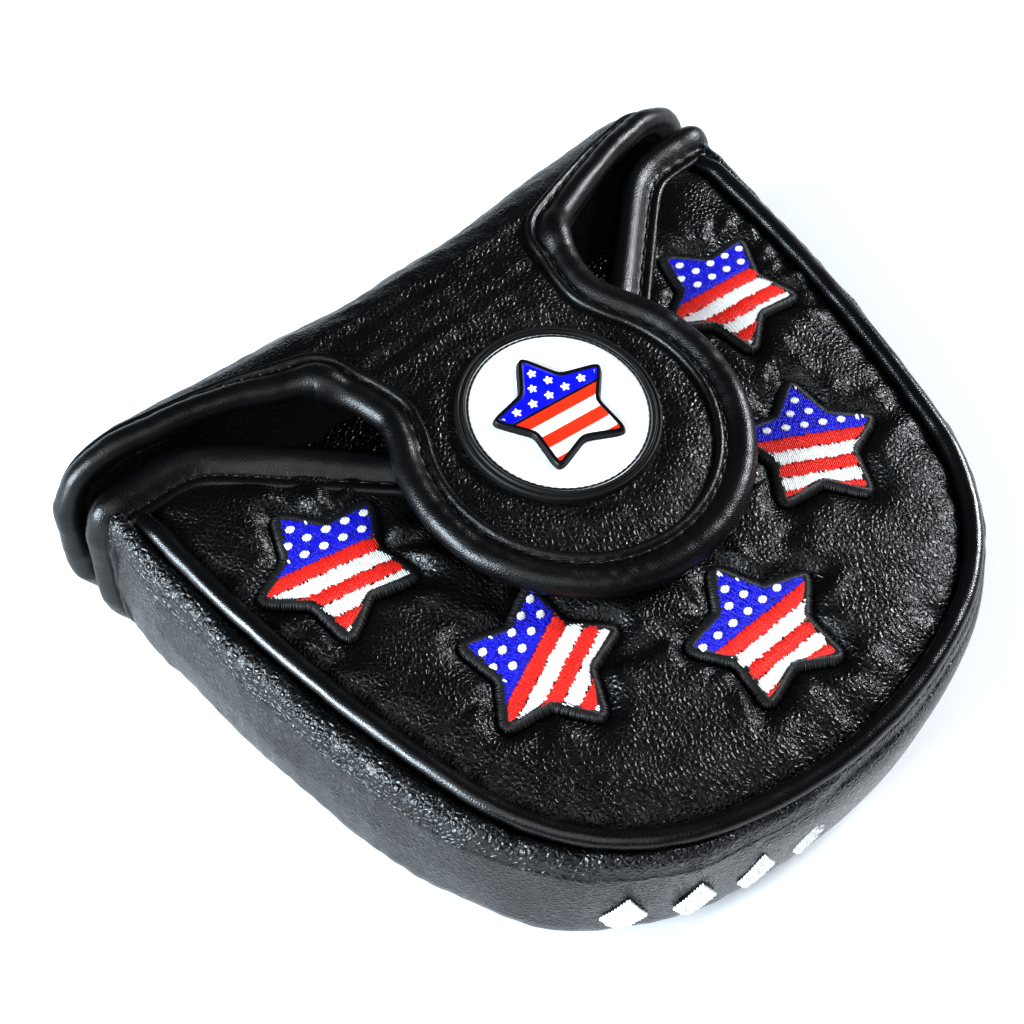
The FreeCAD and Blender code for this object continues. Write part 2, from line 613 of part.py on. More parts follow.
def flap_block(index):
    """The flap's solid form after the first `index` layers are peeled off."""
    peeled = plus(*[terms for _, terms in flap_layers[:index]]) if index else {}
    body = new_body(f"flap_block_{index}")
    sketch = new_sketch(body, "XY_Plane", "plan", {"flap_foot": 1} if not index else {"flap_foot": -1})
    low = {"mouth_y": 1, "flap_out": -0.3} if not index else {"mouth_y": 1, "flap_out": -1}
    half = plus({"flap_half": 1}, {k: -v for k, v in peeled.items()})
    minus_half = {k: -v for k, v in half.items()}
    far = plus({"mouth_y": 1, "flap_out": 1}, {k: -v for k, v in peeled.items()})
    draw_polygon(sketch, ((minus_half, low), (half, low), (half, far), (minus_half, far)))
    top = plus({"flap_roof": 1, "flap_foot": -1 if not index else 1}, {k: -v for k, v in peeled.items()})
    block = pad(body, sketch, "block", top)
    doc.recompute()
    roof = size["flap_roof"] - number(peeled)
    front = number(far)
    side = number(half)
    ends = edges_where(block, lambda c, e: abs(c.z - roof) < 1e-3 and abs(abs(c.x) - side) < 1e-3)
    shaped = fillet(body, block, "ends", ends, plus({"flap_end": 1}, {k: -v for k, v in peeled.items()}))
    doc.recompute()
    over = edges_where(shaped, lambda c, e: abs(c.y - front) < 1e-3 and abs(c.z - roof) < 1e-3)
    fillet(body, shaped, "shoulder", over, plus({"flap_shoulder": 1}, {k: -v for k, v in peeled.items()}))
    return body


blocks = [flap_block(index) for index in range(4)]
doc.recompute()
trim = new_body("flap_trim")
trim_sketch = new_sketch(trim, "XY_Plane", "plan", {"flap_foot": 1})
behind_edge = {"mouth_y": 1, "flap_edge": 1, "roll_flap": 1.06}
neck_side = {"neck_half": 1, "roll_flap": -2.06}
neck_minus = {"neck_half": -1, "roll_flap": 2.06}
neck_back = {"mouth_y": 1, "fold_gap": 0.5}
far_left, far_right = {"flap_half": -1.2}, {"flap_half": 1.2}
draw_polygon(trim_sketch, (
    (far_left, behind_edge), (neck_minus, behind_edge), (neck_minus, neck_back), (neck_side, neck_back),
    (neck_side, behind_edge), (far_right, behind_edge), (far_right, {"mouth_y": 1, "flap_out": 2}),
    (far_left, {"mouth_y": 1, "flap_out": 2})))
pad(trim, trim_sketch, "block", {"tall": 1})
for index, (name, _) in enumerate(flap_layers):
    handed_in.append(common(name, cut(f"flap_shell_{index}", blocks[index], blocks[index + 1]), trim))

# The flap's binding lies in one upright plane; at the neck it bends back over the shoulder to the tongue.
half_wall = {"leather": -0.5, "flap_foam": -0.5, "flap_lining": -0.5}
depth = number({"flap_shoulder": 1}) + number(half_wall)
sink = (size["flap_shoulder"] - math.sqrt(depth ** 2 - size["flap_edge"] ** 2)) / size["flap_shoulder"]
ridge = {"flap_roof": 1, "flap_shoulder": round(-sink, 6)}
pivot = {"flap_roof": 1, "flap_shoulder": -1}
bend_radius = plus({"flap_shoulder": 1}, half_wall)
edge_plane = {"mouth_y": -1, "flap_edge": -1}
for side, tag in ((-1, "left"), (1, "right")):
    bars = []
    wall = {"flap_half": side, "flap_shoulder": round(-side * sink, 6)}
    neck = {"neck_half": side, "roll_flap": -side}
    foot = {"flap_foot": 1}
    edge_y = {"mouth_y": 1, "flap_edge": 1}
    bars.append(pipe(f"flap_bar_{tag}", "XZ_Plane", "bar",
                     lambda sketch: rounded_path(sketch, ((wall, foot), (wall, ridge), (neck, ridge)),
                                                 [{"flap_end": 1, "flap_shoulder": round(-sink, 6)}]),
                     {"roll_flap": 1}, lift=edge_plane, start=("XY_Plane", foot), at=(wall, edge_y)))

    def over_shoulder(sketch):
        stop = math.asin(size["flap_edge"] / depth)
        middle = point(size["mouth_y"], number(pivot))
        sketch.addGeometry(arc(middle, depth, math.pi / 2 - stop, math.pi / 2), False)
        bind(sketch, "bend", Sketcher.Constraint("Radius", 0, depth), bend_radius)
        pin(sketch, 0, 3, "pivot", {"mouth_y": 1}, pivot)
        sketch.addConstraint(Sketcher.Constraint("DistanceX", -1, 1, 0, 2, size["mouth_y"]))
        bind(sketch, "far", Sketcher.Constraint("DistanceX", -1, 1, 0, 1, number(edge_y)), edge_y)

    bars.append(pipe(f"flap_neck_{tag}", "YZ_Plane", "neck", over_shoulder, {"roll_flap": 1}, lift=neck,
                     start=("XZ_Plane", {"mouth_y": -1}), at=(neck, plus(pivot, bend_radius))))
    knuckle = doc.addObject("Part::Sphere", f"flap_knuckle_{tag}")
    knuckle.setExpression("Radius", "Sheet.roll_flap * 1.03")
    knuckle.setExpression("Placement.Base.x", formula(neck))
    knuckle.setExpression("Placement.Base.y", formula(edge_y))
    knuckle.setExpression("Placement.Base.z", formula(ridge))
    bars.append(knuckle)
    flap_binding = doc.addObject("Part::MultiFuse", f"flap_binding_{tag}")
    flap_binding.Shapes = bars
    handed_in.append(flap_binding)

# ---------------------------------------------------------------- tongue


def draw_tongue(sketch, inset, closed=True):
    """The tongue's outline, drawn about the mouth line and moved inwards by a sum of cells."""
    edge = number(inset)
    neck, big, hollow = size["neck_half"] - edge, size["tongue_radius"] - edge, size["neck_round"] + edge
    waist = math.sqrt((big + hollow) ** 2 - (neck + hollow) ** 2) - size["tongue_centre"]
    top = -size["fold_gap"] / 2
    lean = math.atan2(waist + size["tongue_centre"], neck + hollow)
    sketch.addGeometry(Part.LineSegment(point(-neck, top), point(-neck, waist)), False)
    sketch.addGeometry(arc(point(-neck - hollow, waist), hollow, 2 * math.pi - lean, 2 * math.pi), False)
    sketch.addGeometry(arc(point(0, -size["tongue_centre"]), big, math.pi - lean, 2 * math.pi + lean), False)
    sketch.addGeometry(arc(point(neck + hollow, waist), hollow, math.pi, math.pi + lean), False)
    sketch.addGeometry(Part.LineSegment(point(neck, waist), point(neck, top)), False)
    for constraint in ((0, 2, 1, 2), (1, 1, 2, 1), (2, 2, 3, 2), (3, 1, 4, 1)):
        sketch.addConstraint(Sketcher.Constraint("Tangent", *constraint))
    out = {alias: -share for alias, share in inset.items()}
    neck_out = plus({"neck_half": 1}, out)
    bind(sketch, "hollow", Sketcher.Constraint("Radius", 1, hollow), plus({"neck_round": 1}, inset))
    bind(sketch, "round", Sketcher.Constraint("Radius", 2, big), plus({"tongue_radius": 1}, out))
    sketch.addConstraint(Sketcher.Constraint("Equal", 1, 3))
    pin(sketch, 2, 3, "middle", {}, {"tongue_centre": -1})
    sketch.addConstraint(Sketcher.Constraint("Vertical", 0))
    sketch.addConstraint(Sketcher.Constraint("Vertical", 4))
    pin(sketch, 0, 1, "left", {alias: -share for alias, share in neck_out.items()}, {"fold_gap": -0.5})
    pin(sketch, 4, 2, "right", neck_out, {"fold_gap": -0.5})
    if closed:
        sketch.addGeometry(Part.LineSegment(point(neck, top), point(-neck, top)), False)
        sketch.addConstraint(Sketcher.Constraint("Coincident", 4, 2, 5, 1))
        sketch.addConstraint(Sketcher.Constraint("Coincident", 5, 2, 0, 1))


tongue_rooms = doc.addObject("Part::MultiFuse", "tongue_rooms")
tongue_rooms.Shapes = [disc("tongue_room", {"magnet_room": 1}, both_thick, centre, tongue_back),
                       disc("tongue_patch_room", {"patch_radius": 1}, {"patch_thick": 1}, centre, tongue_back)]
handed_in += [
    disc("tongue_patch", {"patch_radius": 1}, {"patch_thick": 1}, centre, tongue_back),
    disc("tongue_magnet", {"magnet_radius": 1}, {"magnet_thick": 1}, centre,
         plus(tongue_back, {"patch_thick": 1}))]
up = {"tongue_lift": 1}
for name, alias in (("tongue_lining", "tongue_lining"), ("tongue_foam", "tongue_foam"),
                    ("tongue_panel", "tongue_leather")):
    whole = name if name != "tongue_foam" else "tongue_foam_whole"
    plate = new_body(whole)
    sketch = new_sketch(plate, "XY_Plane", "outline")
    draw_tongue(sketch, {"roll_flap": 2.05})
    pad(plate, sketch, "plate", {alias: 1})
    in_seam_plane(plate, up=number(up))
    up = plus(up, {alias: 1})
    handed_in.append(plate if whole == name else cut(name, plate, tongue_rooms))
roll = pipe("tongue_binding", "XY_Plane", "roll", lambda sketch: draw_tongue(sketch, {"roll_flap": 1}, False),
            {"roll_flap": 1}, start=("XZ_Plane", {"fold_gap": 0.5}),
            at=({"neck_half": -1, "roll_flap": 1}, {}))
in_seam_plane(roll, up=number({"tongue_lift": 1, "tongue_lining": 0.5, "tongue_foam": 0.5,
                               "tongue_leather": 0.5}))
handed_in.append(roll)

# ---------------------------------------------------------------- badge

badge_place = {"badge_centre": 1}
recess = plus(up, {"badge_thick": 1, "face_sunk": -1})
handed_in += [
    cut("badge_ring", disc("badge_blank", {"badge_radius": 1}, {"badge_thick": 1}, badge_place, up),
        disc("badge_recess", {"face_radius": 1}, {"badge_thick": 1}, badge_place, recess)),
    disc("badge_face", {"face_radius": 1}, {"face_thick": 1}, badge_place, recess),
    star("badge_star", "badge_star", {"star_thick": 1}, 0, -size["badge_centre"],
         number(plus(recess, {"face_thick": 1})), 8.0)]

# ---------------------------------------------------------------- stitches


def stitch_row(name, places):
    """A node of equal stitches, each a small bar at a place and a turn."""
    made = []
    for index, placement in enumerate(places):
        box = doc.addObject("Part::Box", f"{name}_{index}")
        box.Length, box.Width, box.Height = STITCH_LONG, STITCH_WIDE, STITCH_TALL
        shift = FreeCAD.Placement(FreeCAD.Vector(-STITCH_LONG / 2, -STITCH_WIDE / 2, 0), FreeCAD.Rotation())
        box.Placement = placement.multiply(shift)
        made.append(box)
    row = doc.addObject("Part::Compound", name)
    row.Links = made
    handed_in.append(row)


def along(name, draw, up, seam_origin):
    """Places spaced along a line drawn in the seam plane, raised by some millimetres."""
    line = doc.addObject("Sketcher::SketchObject", name)
    draw(line)
    doc.recompute()
    wire = Part.Wire(Part.__sortEdges__(line.Shape.Edges))
    tilt = FreeCAD.Rotation(FreeCAD.Vector(1, 0, 0), slope)
    base = FreeCAD.Vector(0, size["mouth_y"], size["height_mouth"])
    count = int(wire.Length / STITCH_STEP) + 1
    spots = wire.discretize(Number=2 * count + 1)
    places = []
    for index in range(1, 2 * count, 2):
        ahead = spots[index + 1] - spots[index - 1]
        turn = math.degrees(math.atan2(ahead.y, ahead.x))
        flat = spots[index] - FreeCAD.Vector(0, seam_origin, 0)
        spot = base + tilt.multVec(flat + FreeCAD.Vector(0, 0, up))
        places.append(FreeCAD.Placement(spot, tilt.multiply(FreeCAD.Rotation(LEVEL, turn))))
    return places


stitch_row("tongue_stitching", along("tongue_stitch_line", lambda sketch: draw_tongue(
    sketch, {"roll_flap": 1, "stitch_in": 1}, False), number(up), 0.0))
side_in = {"stitch_in": 0.367}
stitch_row("mouth_stitching", along("mouth_stitch_line", lambda sketch: rounded_path(sketch, (
    ({"half_width": -1, "stitch_in": 1}, {"mouth_y": 1, "stitch_in": -1}),
    ({"scoop_open": -1, "stitch_in": -0.367}, {"mouth_y": 1, "stitch_in": -1}),
    ({"scoop_flat": -1, "stitch_in": -0.367}, plus(floor_line, {"stitch_in": -1})),
    ({"scoop_flat": 1, "stitch_in": 0.367}, plus(floor_line, {"stitch_in": -1})),
    ({"scoop_open": 1, "stitch_in": 0.367}, {"mouth_y": 1, "stitch_in": -1}),
    ({"half_width": 1, "stitch_in": -1}, {"mouth_y": 1, "stitch_in": -1}),
), [{"scoop_round": 0.5}, {"scoop_round": 1}, {"scoop_round": 1}, {"scoop_round": 0.5}]),
    number({"leather": 0.5}), size["mouth_y"]))
lean = math.asin((size["flap_edge"] + size["stitch_in"]) / size["flap_shoulder"])
flap_spots = []
for side in (-1, 1):
    for index in range(9):
        x = side * (size["neck_half"] + 2 + index * STITCH_STEP)
        spot = FreeCAD.Vector(x, size["mouth_y"] + size["flap_edge"] + size["stitch_in"],
                              size["flap_roof"] - size["flap_shoulder"] * (1 - math.cos(lean)))
        turn = FreeCAD.Rotation(FreeCAD.Vector(1, 0, 0), -math.degrees(lean))
        flap_spots.append(FreeCAD.Placement(spot, turn))
stitch_row("flap_stitching", flap_spots)

# ---------------------------------------------------------------- hand-in

doc.recompute()
broken = [obj.Name for obj in doc.Objects if "Invalid" in obj.State or "Error" in obj.State]
if broken:
    raise RuntimeError(f"objects that failed: {broken}")
os.makedirs("parts", exist_ok=True)
for obj in handed_in:
    if obj.Shape.isNull() or not obj.Shape.isValid():
        raise RuntimeError(f"{obj.Label} has no sound shape")
    obj.Label = obj.Name
    obj.Shape.exportStep(f"parts/{obj.Name}.step")
    box = obj.Shape.optimalBoundingBox()
    print(f"{obj.Name}: {len(obj.Shape.Solids)} solids, {obj.Shape.Volume:.0f} mm3,"
          f" X {box.XMin:.1f}..{box.XMax:.1f} Y {box.YMin:.1f}..{box.YMax:.1f} Z {box.ZMin:.1f}..{box.ZMax:.1f}")
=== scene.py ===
"""Looks of a D-shaped mallet putter head cover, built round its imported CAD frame.

The leather, bindings, piping, threads and badge are parametric surfaces worked out with numpy, in the row
frame and in metres.  Most of them are laid out on two unrolled sheets: the pouch, seen from its top seam, and
the wrap, which is the flap and its tongue rolled out flat.
"""

import json
import logging
import math
from dataclasses import dataclass, field
from enum import Enum
from typing import Callable, Optional, Sequence

import bpy
import numpy as np
from mathutils import Matrix, Vector


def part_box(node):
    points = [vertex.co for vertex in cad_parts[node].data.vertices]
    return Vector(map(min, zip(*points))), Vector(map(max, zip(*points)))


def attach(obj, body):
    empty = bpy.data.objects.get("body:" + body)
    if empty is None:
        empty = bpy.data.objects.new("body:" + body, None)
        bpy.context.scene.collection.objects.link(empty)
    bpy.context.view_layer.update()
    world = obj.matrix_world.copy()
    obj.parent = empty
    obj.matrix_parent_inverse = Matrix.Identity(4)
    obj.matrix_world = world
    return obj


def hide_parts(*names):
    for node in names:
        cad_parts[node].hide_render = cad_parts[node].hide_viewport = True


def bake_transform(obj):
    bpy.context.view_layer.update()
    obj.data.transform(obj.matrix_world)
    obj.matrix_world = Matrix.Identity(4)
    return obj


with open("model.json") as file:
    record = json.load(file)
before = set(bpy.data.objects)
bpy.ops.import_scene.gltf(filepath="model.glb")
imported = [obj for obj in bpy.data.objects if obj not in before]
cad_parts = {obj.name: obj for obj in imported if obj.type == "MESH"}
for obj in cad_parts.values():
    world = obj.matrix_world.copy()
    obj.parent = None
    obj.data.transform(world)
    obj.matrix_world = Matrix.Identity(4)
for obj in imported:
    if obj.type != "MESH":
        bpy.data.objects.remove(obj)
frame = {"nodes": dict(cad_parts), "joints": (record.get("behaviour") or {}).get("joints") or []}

logging.basicConfig(level=logging.INFO, format="%(levelname)s %(message)s")
log = logging.getLogger("head_cover")

Array = np.ndarray
MM = 0.001
HALF_TURN = math.pi
QUARTER = math.pi / 2


# ---------------------------------------------------------------- numbers and curves


def unit(v: Array) -> Array:
    """Scales vectors to length one.

    Args:
        v: vectors in the last axis.

    Returns:
        The same directions with length one.
    """
    return v / np.maximum(np.linalg.norm(v, axis=-1, keepdims=True), 1e-12)


def smooth_step(low: float, high: float, x: Array) -> Array:
    """Rises smoothly from 0 at `low` to 1 at `high`.

    Args:
        low: where the rise starts.
        high: where it ends.
        x: values to map.

    Returns:
        Values from 0 to 1.
    """
    t = np.clip((x - low) / (high - low), 0, 1)
    return t * t * (3 - 2 * t)


def bump_at(x: Array, middle: float, width: float) -> Array:
    """A bell of height one round `middle`.

    Args:
        x: values to map.
        middle: centre of the bell.
        width: distance at which it has sunk to about a third.

    Returns:
        Values from 0 to 1.
    """
    return np.exp(-(((x - middle) / width) ** 2))


def through(points: Sequence[Sequence[float]], count: int, closed: bool = False) -> Array:
    """A smooth curve through points, evenly spaced along its length.

    Args:
        points: the points it passes, two or more numbers each.
        count: how many points come back.
        closed: whether the curve returns to its start.

    Returns:
        Array of `count` points; a closed curve doesn't repeat its first one.
    """
    p = np.array(points, float)
    p = np.vstack([p[-1], p, p[:2]]) if closed else np.vstack([2 * p[0] - p[1], p, 2 * p[-1] - p[-2]])
    chords = np.sqrt(np.linalg.norm(np.diff(p, axis=0), axis=1))
    knots = np.concatenate([[0], np.cumsum(np.maximum(chords, 1e-9))])
    pieces = []
    for i in range(1, len(p) - 2):
        t = np.linspace(knots[i], knots[i + 1], 40, endpoint=False)[:, None]
        k = knots[i - 1:i + 3]
        a = [((k[j + 1] - t) * p[i - 1 + j] + (t - k[j]) * p[i + j]) / (k[j + 1] - k[j]) for j in range(3)]
        b = [((k[j + 2] - t) * a[j] + (t - k[j]) * a[j + 1]) / (k[j + 2] - k[j]) for j in range(2)]
        pieces.append(((k[2] - t) * b[0] + (t - k[1]) * b[1]) / (k[2] - k[1]))
    dense = np.vstack(pieces + [p[1:2] if closed else p[-2:-1]])
    return even(dense, count, closed)


def even(line: Array, count: int, closed: bool = False) -> Array:
    """Spaces points evenly along a polyline.

    Args:
        line: points of the polyline; a closed one ends on its first point.
        count: how many points come back.
        closed: whether to leave out the last point.

    Returns:
        Array of `count` points.
    """
    along = np.concatenate([[0], np.cumsum(np.linalg.norm(np.diff(line, axis=0), axis=1))])
    wanted = np.linspace(0, along[-1], count + 1 if closed else count)[:count]
    return np.stack([np.interp(wanted, along, line[:, k]) for k in range(line.shape[1])], -1)


def length_along(line: Array) -> Array:
    """Distance of each point of a polyline from its start.

    Args:
        line: points of the polyline.

    Returns:
        One distance per point.
    """
    return np.concatenate([[0], np.cumsum(np.linalg.norm(np.diff(line, axis=0), axis=1))])


def soften(line: Array, passes: int) -> Array:
    """Rounds off an open polyline's corners, keeping its ends.

    Args:
        line: points of the polyline, evenly spaced.
        passes: how many times each point moves halfway to its neighbours' mean.

    Returns:
        The rounded polyline.
    """
    line = line.copy()
    for _ in range(passes):
        line[1:-1] = 0.5 * line[1:-1] + 0.25 * (line[:-2] + line[2:])
    return line


def left_normals(line: Array) -> Array:
    """Unit normals on the left of a plane polyline.

    Args:
        line: points with two coordinates.

    Returns:
        One normal per point.
    """
    ahead = unit(np.gradient(line, axis=0))
    return np.stack([-ahead[:, 1], ahead[:, 0]], -1)


class Ripple:
    """Smooth unevenness that is the same each time: waves that run in many directions.

    Args:
        seed: picks the waves.
        length: typical distance between crests.
        waves: how many are added up.
    """

    def __init__(self, seed: int, length: float, waves: int = 9) -> None:
        """Picks the waves' directions, lengths and phases."""
        pick = np.random.default_rng(seed)
        turn = pick.uniform(0, 2 * HALF_TURN, waves)
        pace = 2 * HALF_TURN / (length * pick.uniform(0.6, 1.7, waves))
        self.kx, self.ky = pace * np.cos(turn), pace * np.sin(turn)
        self.phase = pick.uniform(0, 2 * HALF_TURN, waves)
        self.scale = math.sqrt(2 / waves)

    def __call__(self, x: Array, y: Array | float = 0.0) -> Array:
        """The sum of the waves at places x, y, with a mean square of one."""
        x, y = np.asarray(x, float)[..., None], np.asarray(y, float)[..., None]
        return self.scale * np.sin(self.kx * x + self.ky * y + self.phase).sum(-1)


# ---------------------------------------------------------------- meshes


def make_object(name: str, verts: Array, faces: Array | list, materials: Sequence[bpy.types.Material],
                face_material: Optional[Array] = None, uv: Optional[Array] = None,
                paint: Optional[Array] = None) -> bpy.types.Object:
    """Makes a smooth-shaded mesh object at the origin.

    Args:
        name: name of the object and its mesh.
        verts: corners in metres.
        faces: corner numbers of each face.
        materials: materials of the mesh's slots.
        face_material: slot number of each face.
        uv: a pair per face corner, in the order of the faces.
        paint: a colour per vertex, kept in the attribute `paint`.

    Returns:
        The new object.
    """
    mesh = bpy.data.meshes.new(name)
    listed = faces.tolist() if isinstance(faces, np.ndarray) else faces
    mesh.from_pydata(np.asarray(verts, float).reshape(-1, 3).tolist(), [], listed)
    for material in materials:
        mesh.materials.append(material)
    mesh.polygons.foreach_set("use_smooth", np.ones(len(mesh.polygons), bool))
    if face_material is not None:
        mesh.polygons.foreach_set("material_index", np.asarray(face_material, np.int32))
    if uv is not None:
        layer = mesh.uv_layers.new(name="UVMap")
        layer.data.foreach_set("uv", np.asarray(uv, np.float32).ravel())
    if paint is not None:
        layer = mesh.attributes.new("paint", "FLOAT_COLOR", "POINT")
        layer.data.foreach_set("color", np.asarray(paint, np.float32).ravel())
    mesh.update()
    made = bpy.data.objects.new(name, mesh)
    bpy.context.scene.collection.objects.link(made)
    log.info("made %s with %d faces", name, len(mesh.polygons))
    return made


def grid_faces(rows: int, columns: int, wrap_columns: bool = False, wrap_rows: bool = False) -> Array:
    """Quads of a grid of points numbered row by row.

    Args:
        rows: how many rows.
        columns: how many points in a row.
        wrap_columns: whether each row closes on itself.
        wrap_rows: whether the last row joins the first.

    Returns:
        Array of quads.
    """
    r = np.arange(rows if wrap_rows else rows - 1)
    c = np.arange(columns if wrap_columns else columns - 1)
    r, c = np.meshgrid(r, c, indexing="ij")
    r2, c2 = (r + 1) % rows, (c + 1) % columns
    corners = [r * columns + c, r * columns + c2, r2 * columns + c2, r2 * columns + c]
    return np.stack(corners, -1).reshape(-1, 4)


def facing_out(verts: Array, faces: Array) -> Array:
    """Turns all the faces of a closed surface over if they face inwards.

    Args:
        verts: corners.
        faces: quads, all wound the same way.

    Returns:
        Quads that face outwards.
    """
    v = verts.reshape(-1, 3)
    a, b, c, d = (v[faces[:, k]] for k in range(4))
    volume = np.einsum("ij,ij->i", a, np.cross(b, c)).sum() + np.einsum("ij,ij->i", a, np.cross(c, d)).sum()
    return faces if volume > 0 else faces[:, ::-1]


def tube_object(name: str, sections: Array, materials: Sequence[bpy.types.Material], closed: bool = False,
                face_material: Optional[Callable[[Array], Array]] = None) -> bpy.types.Object:
    """A closed surface from closed cross-sections laid one after another.

    Args:
        name: name of the object.
        sections: array of sections by points by three, in metres.
        materials: materials of the slots.
        closed: whether the last section joins the first; if not, both ends are capped.
        face_material: gives slot numbers from the column number of each face.

    Returns:
        The new object.
    """
    rows, columns = sections.shape[:2]
    faces = grid_faces(rows, columns, True, closed)
    slots = None
    if face_material is not None:
        slots = face_material(np.tile(np.arange(columns), rows if closed else rows - 1))
    verts = sections.reshape(-1, 3)
    if not closed:
        middles = sections[[0, -1]].mean(1)
        first, last = len(verts), len(verts) + 1
        verts = np.vstack([verts, middles])
        ring = np.arange(columns)
        follow = (ring + 1) % columns
        start = np.stack([follow, ring, np.full(columns, first), np.full(columns, first)], -1)
        base = (rows - 1) * columns
        end = np.stack([base + ring, base + follow, np.full(columns, last), np.full(columns, last)], -1)
        faces = np.vstack([faces, start, end])
        if slots is not None:
            slots = np.concatenate([slots, np.zeros(2 * columns, int)])
    faces = facing_out(verts, faces)
    listed = [f if len(set(f)) == 4 else list(dict.fromkeys(f)) for f in faces.tolist()]
    return make_object(name, verts, listed, materials, slots)


def lens_object(name: str, top: Array, bottom: Array, materials: Sequence[bpy.types.Material],
                paint: Optional[Array] = None) -> bpy.types.Object:
    """A closed surface from two polar grids that share their rim.

    Args:
        name: name of the object.
        top: rings by points by three, from the middle outwards; its first ring is one place repeated.
        bottom: the same for the underside.
        materials: materials of the slots.
        paint: colours of the top's points; the underside takes those of the rim.

    Returns:
        The new object.
    """
    columns = top.shape[1]
    rings = np.concatenate([top[1:], bottom[:0:-1]])
    rows = len(rings)
    verts = np.vstack([rings.reshape(-1, 3), top[0, :1], bottom[0, :1]])
    ring = np.arange(columns)
    follow = (ring + 1) % columns
    base = (rows - 1) * columns
    first, last = rows * columns, rows * columns + 1
    faces = np.vstack([
        grid_faces(rows, columns, True),
        np.stack([follow, ring, np.full(columns, first), np.full(columns, first)], -1),
        np.stack([base + ring, base + follow, np.full(columns, last), np.full(columns, last)], -1)])
    faces = facing_out(verts, faces)
    colours = None
    if paint is not None:
        under = np.repeat(paint[-1:], len(bottom) - 1, 0)
        colours = np.concatenate([paint[1:], under]).reshape(-1, 4)
        colours = np.vstack([colours, paint[0, :1], paint[-1, :1]])
    listed = [f if len(set(f)) == 4 else list(dict.fromkeys(f)) for f in faces.tolist()]
    return make_object(name, verts, listed, materials, paint=colours)


# ---------------------------------------------------------------- finishes


def linear(code: str) -> tuple[float, float, float, float]:
    """Turns an sRGB hex colour into Blender's linear colour.

    Args:
        code: six hex digits.

    Returns:
        Red, green, blue and alpha.
    """
    values = [int(code[i:i + 2], 16) / 255 for i in (0, 2, 4)]
    return tuple(v / 12.92 if v <= 0.04045 else ((v + 0.055) / 1.055) ** 2.4 for v in values) + (1.0,)


@dataclass
class Shader:
    """A material's node tree while it is being built."""

    name: str
    material: bpy.types.Material = field(init=False)
    tree: bpy.types.NodeTree = field(init=False)
    surface: bpy.types.Node = field(init=False)

    def __post_init__(self) -> None:
        """Makes the material and finds its surface."""
        self.material = bpy.data.materials.new(self.name)
        self.material.use_nodes = True
        self.tree = self.material.node_tree
        self.surface = self.tree.nodes["Principled BSDF"]

    def add(self, kind: str, values: Optional[dict] = None, **settings: object) -> bpy.types.Node:
        """Adds a node.

        Args:
            kind: the node's type, without its ShaderNode prefix.
            values: socket name or number to a constant or to the output socket that feeds it.
            settings: the node's own settings.

        Returns:
            The new node.
        """
        node = self.tree.nodes.new("ShaderNode" + kind)
        for key, value in settings.items():
            setattr(node, key, value)
        self.feed(node, values or {})
        return node

    def feed(self, node: bpy.types.Node, values: dict) -> None:
        """Sets or links a node's inputs.

        Args:
            node: the node.
            values: socket name or number to a constant or to an output socket.
        """
        for key, value in values.items():
            socket = node.inputs[key]
            if isinstance(value, bpy.types.NodeSocket):
                self.tree.links.new(value, socket)
            else:
                socket.default_value = value

    def sums(self, operation: str, a: object, b: object = 0.0) -> bpy.types.NodeSocket:
        """Adds a Math node and gives its result.

        Args:
            operation: its operation.
            a: first value or socket.
            b: second value or socket.

        Returns:
            The result's socket.
        """
        return self.add("Math", {0: a, 1: b}, operation=operation).outputs[0]

    def spread(self, value: object, low: float, high: float, to_low: float, to_high: float) -> object:
        """Maps a range of values onto another.

        Args:
            value: the socket to map.
            low: start of the old range.
            high: end of the old range.
            to_low: start of the new range.
            to_high: end of the new range.

        Returns:
            The result's socket.
        """
        node = self.add("MapRange", {"Value": value, "From Min": low, "From Max": high, "To Min": to_low,
                                     "To Max": to_high})
        return node.outputs["Result"]

    def tint(self, share: object, a: object, b: object) -> bpy.types.NodeSocket:
        """Mixes two colours.

        Args:
            share: how much of the second.
            a: first colour or socket.
            b: second colour or socket.

        Returns:
            The mixed colour's socket.
        """
        node = self.add("Mix", data_type="RGBA")
        factor, first, second, result = 0, 6, 7, 2
        self.feed(node, {factor: share, first: a, second: b})
        return node.outputs[result]

    def object_place(self) -> bpy.types.NodeSocket:
        """The socket of the Object coordinates."""
        return self.add("TexCoord").outputs["Object"]

    def finish(self, values: dict) -> bpy.types.Material:
        """Feeds the surface and hands over the material.

        Args:
            values: inputs of the Principled surface.

        Returns:
            The material.
        """
        self.feed(self.surface, values)
        return self.material


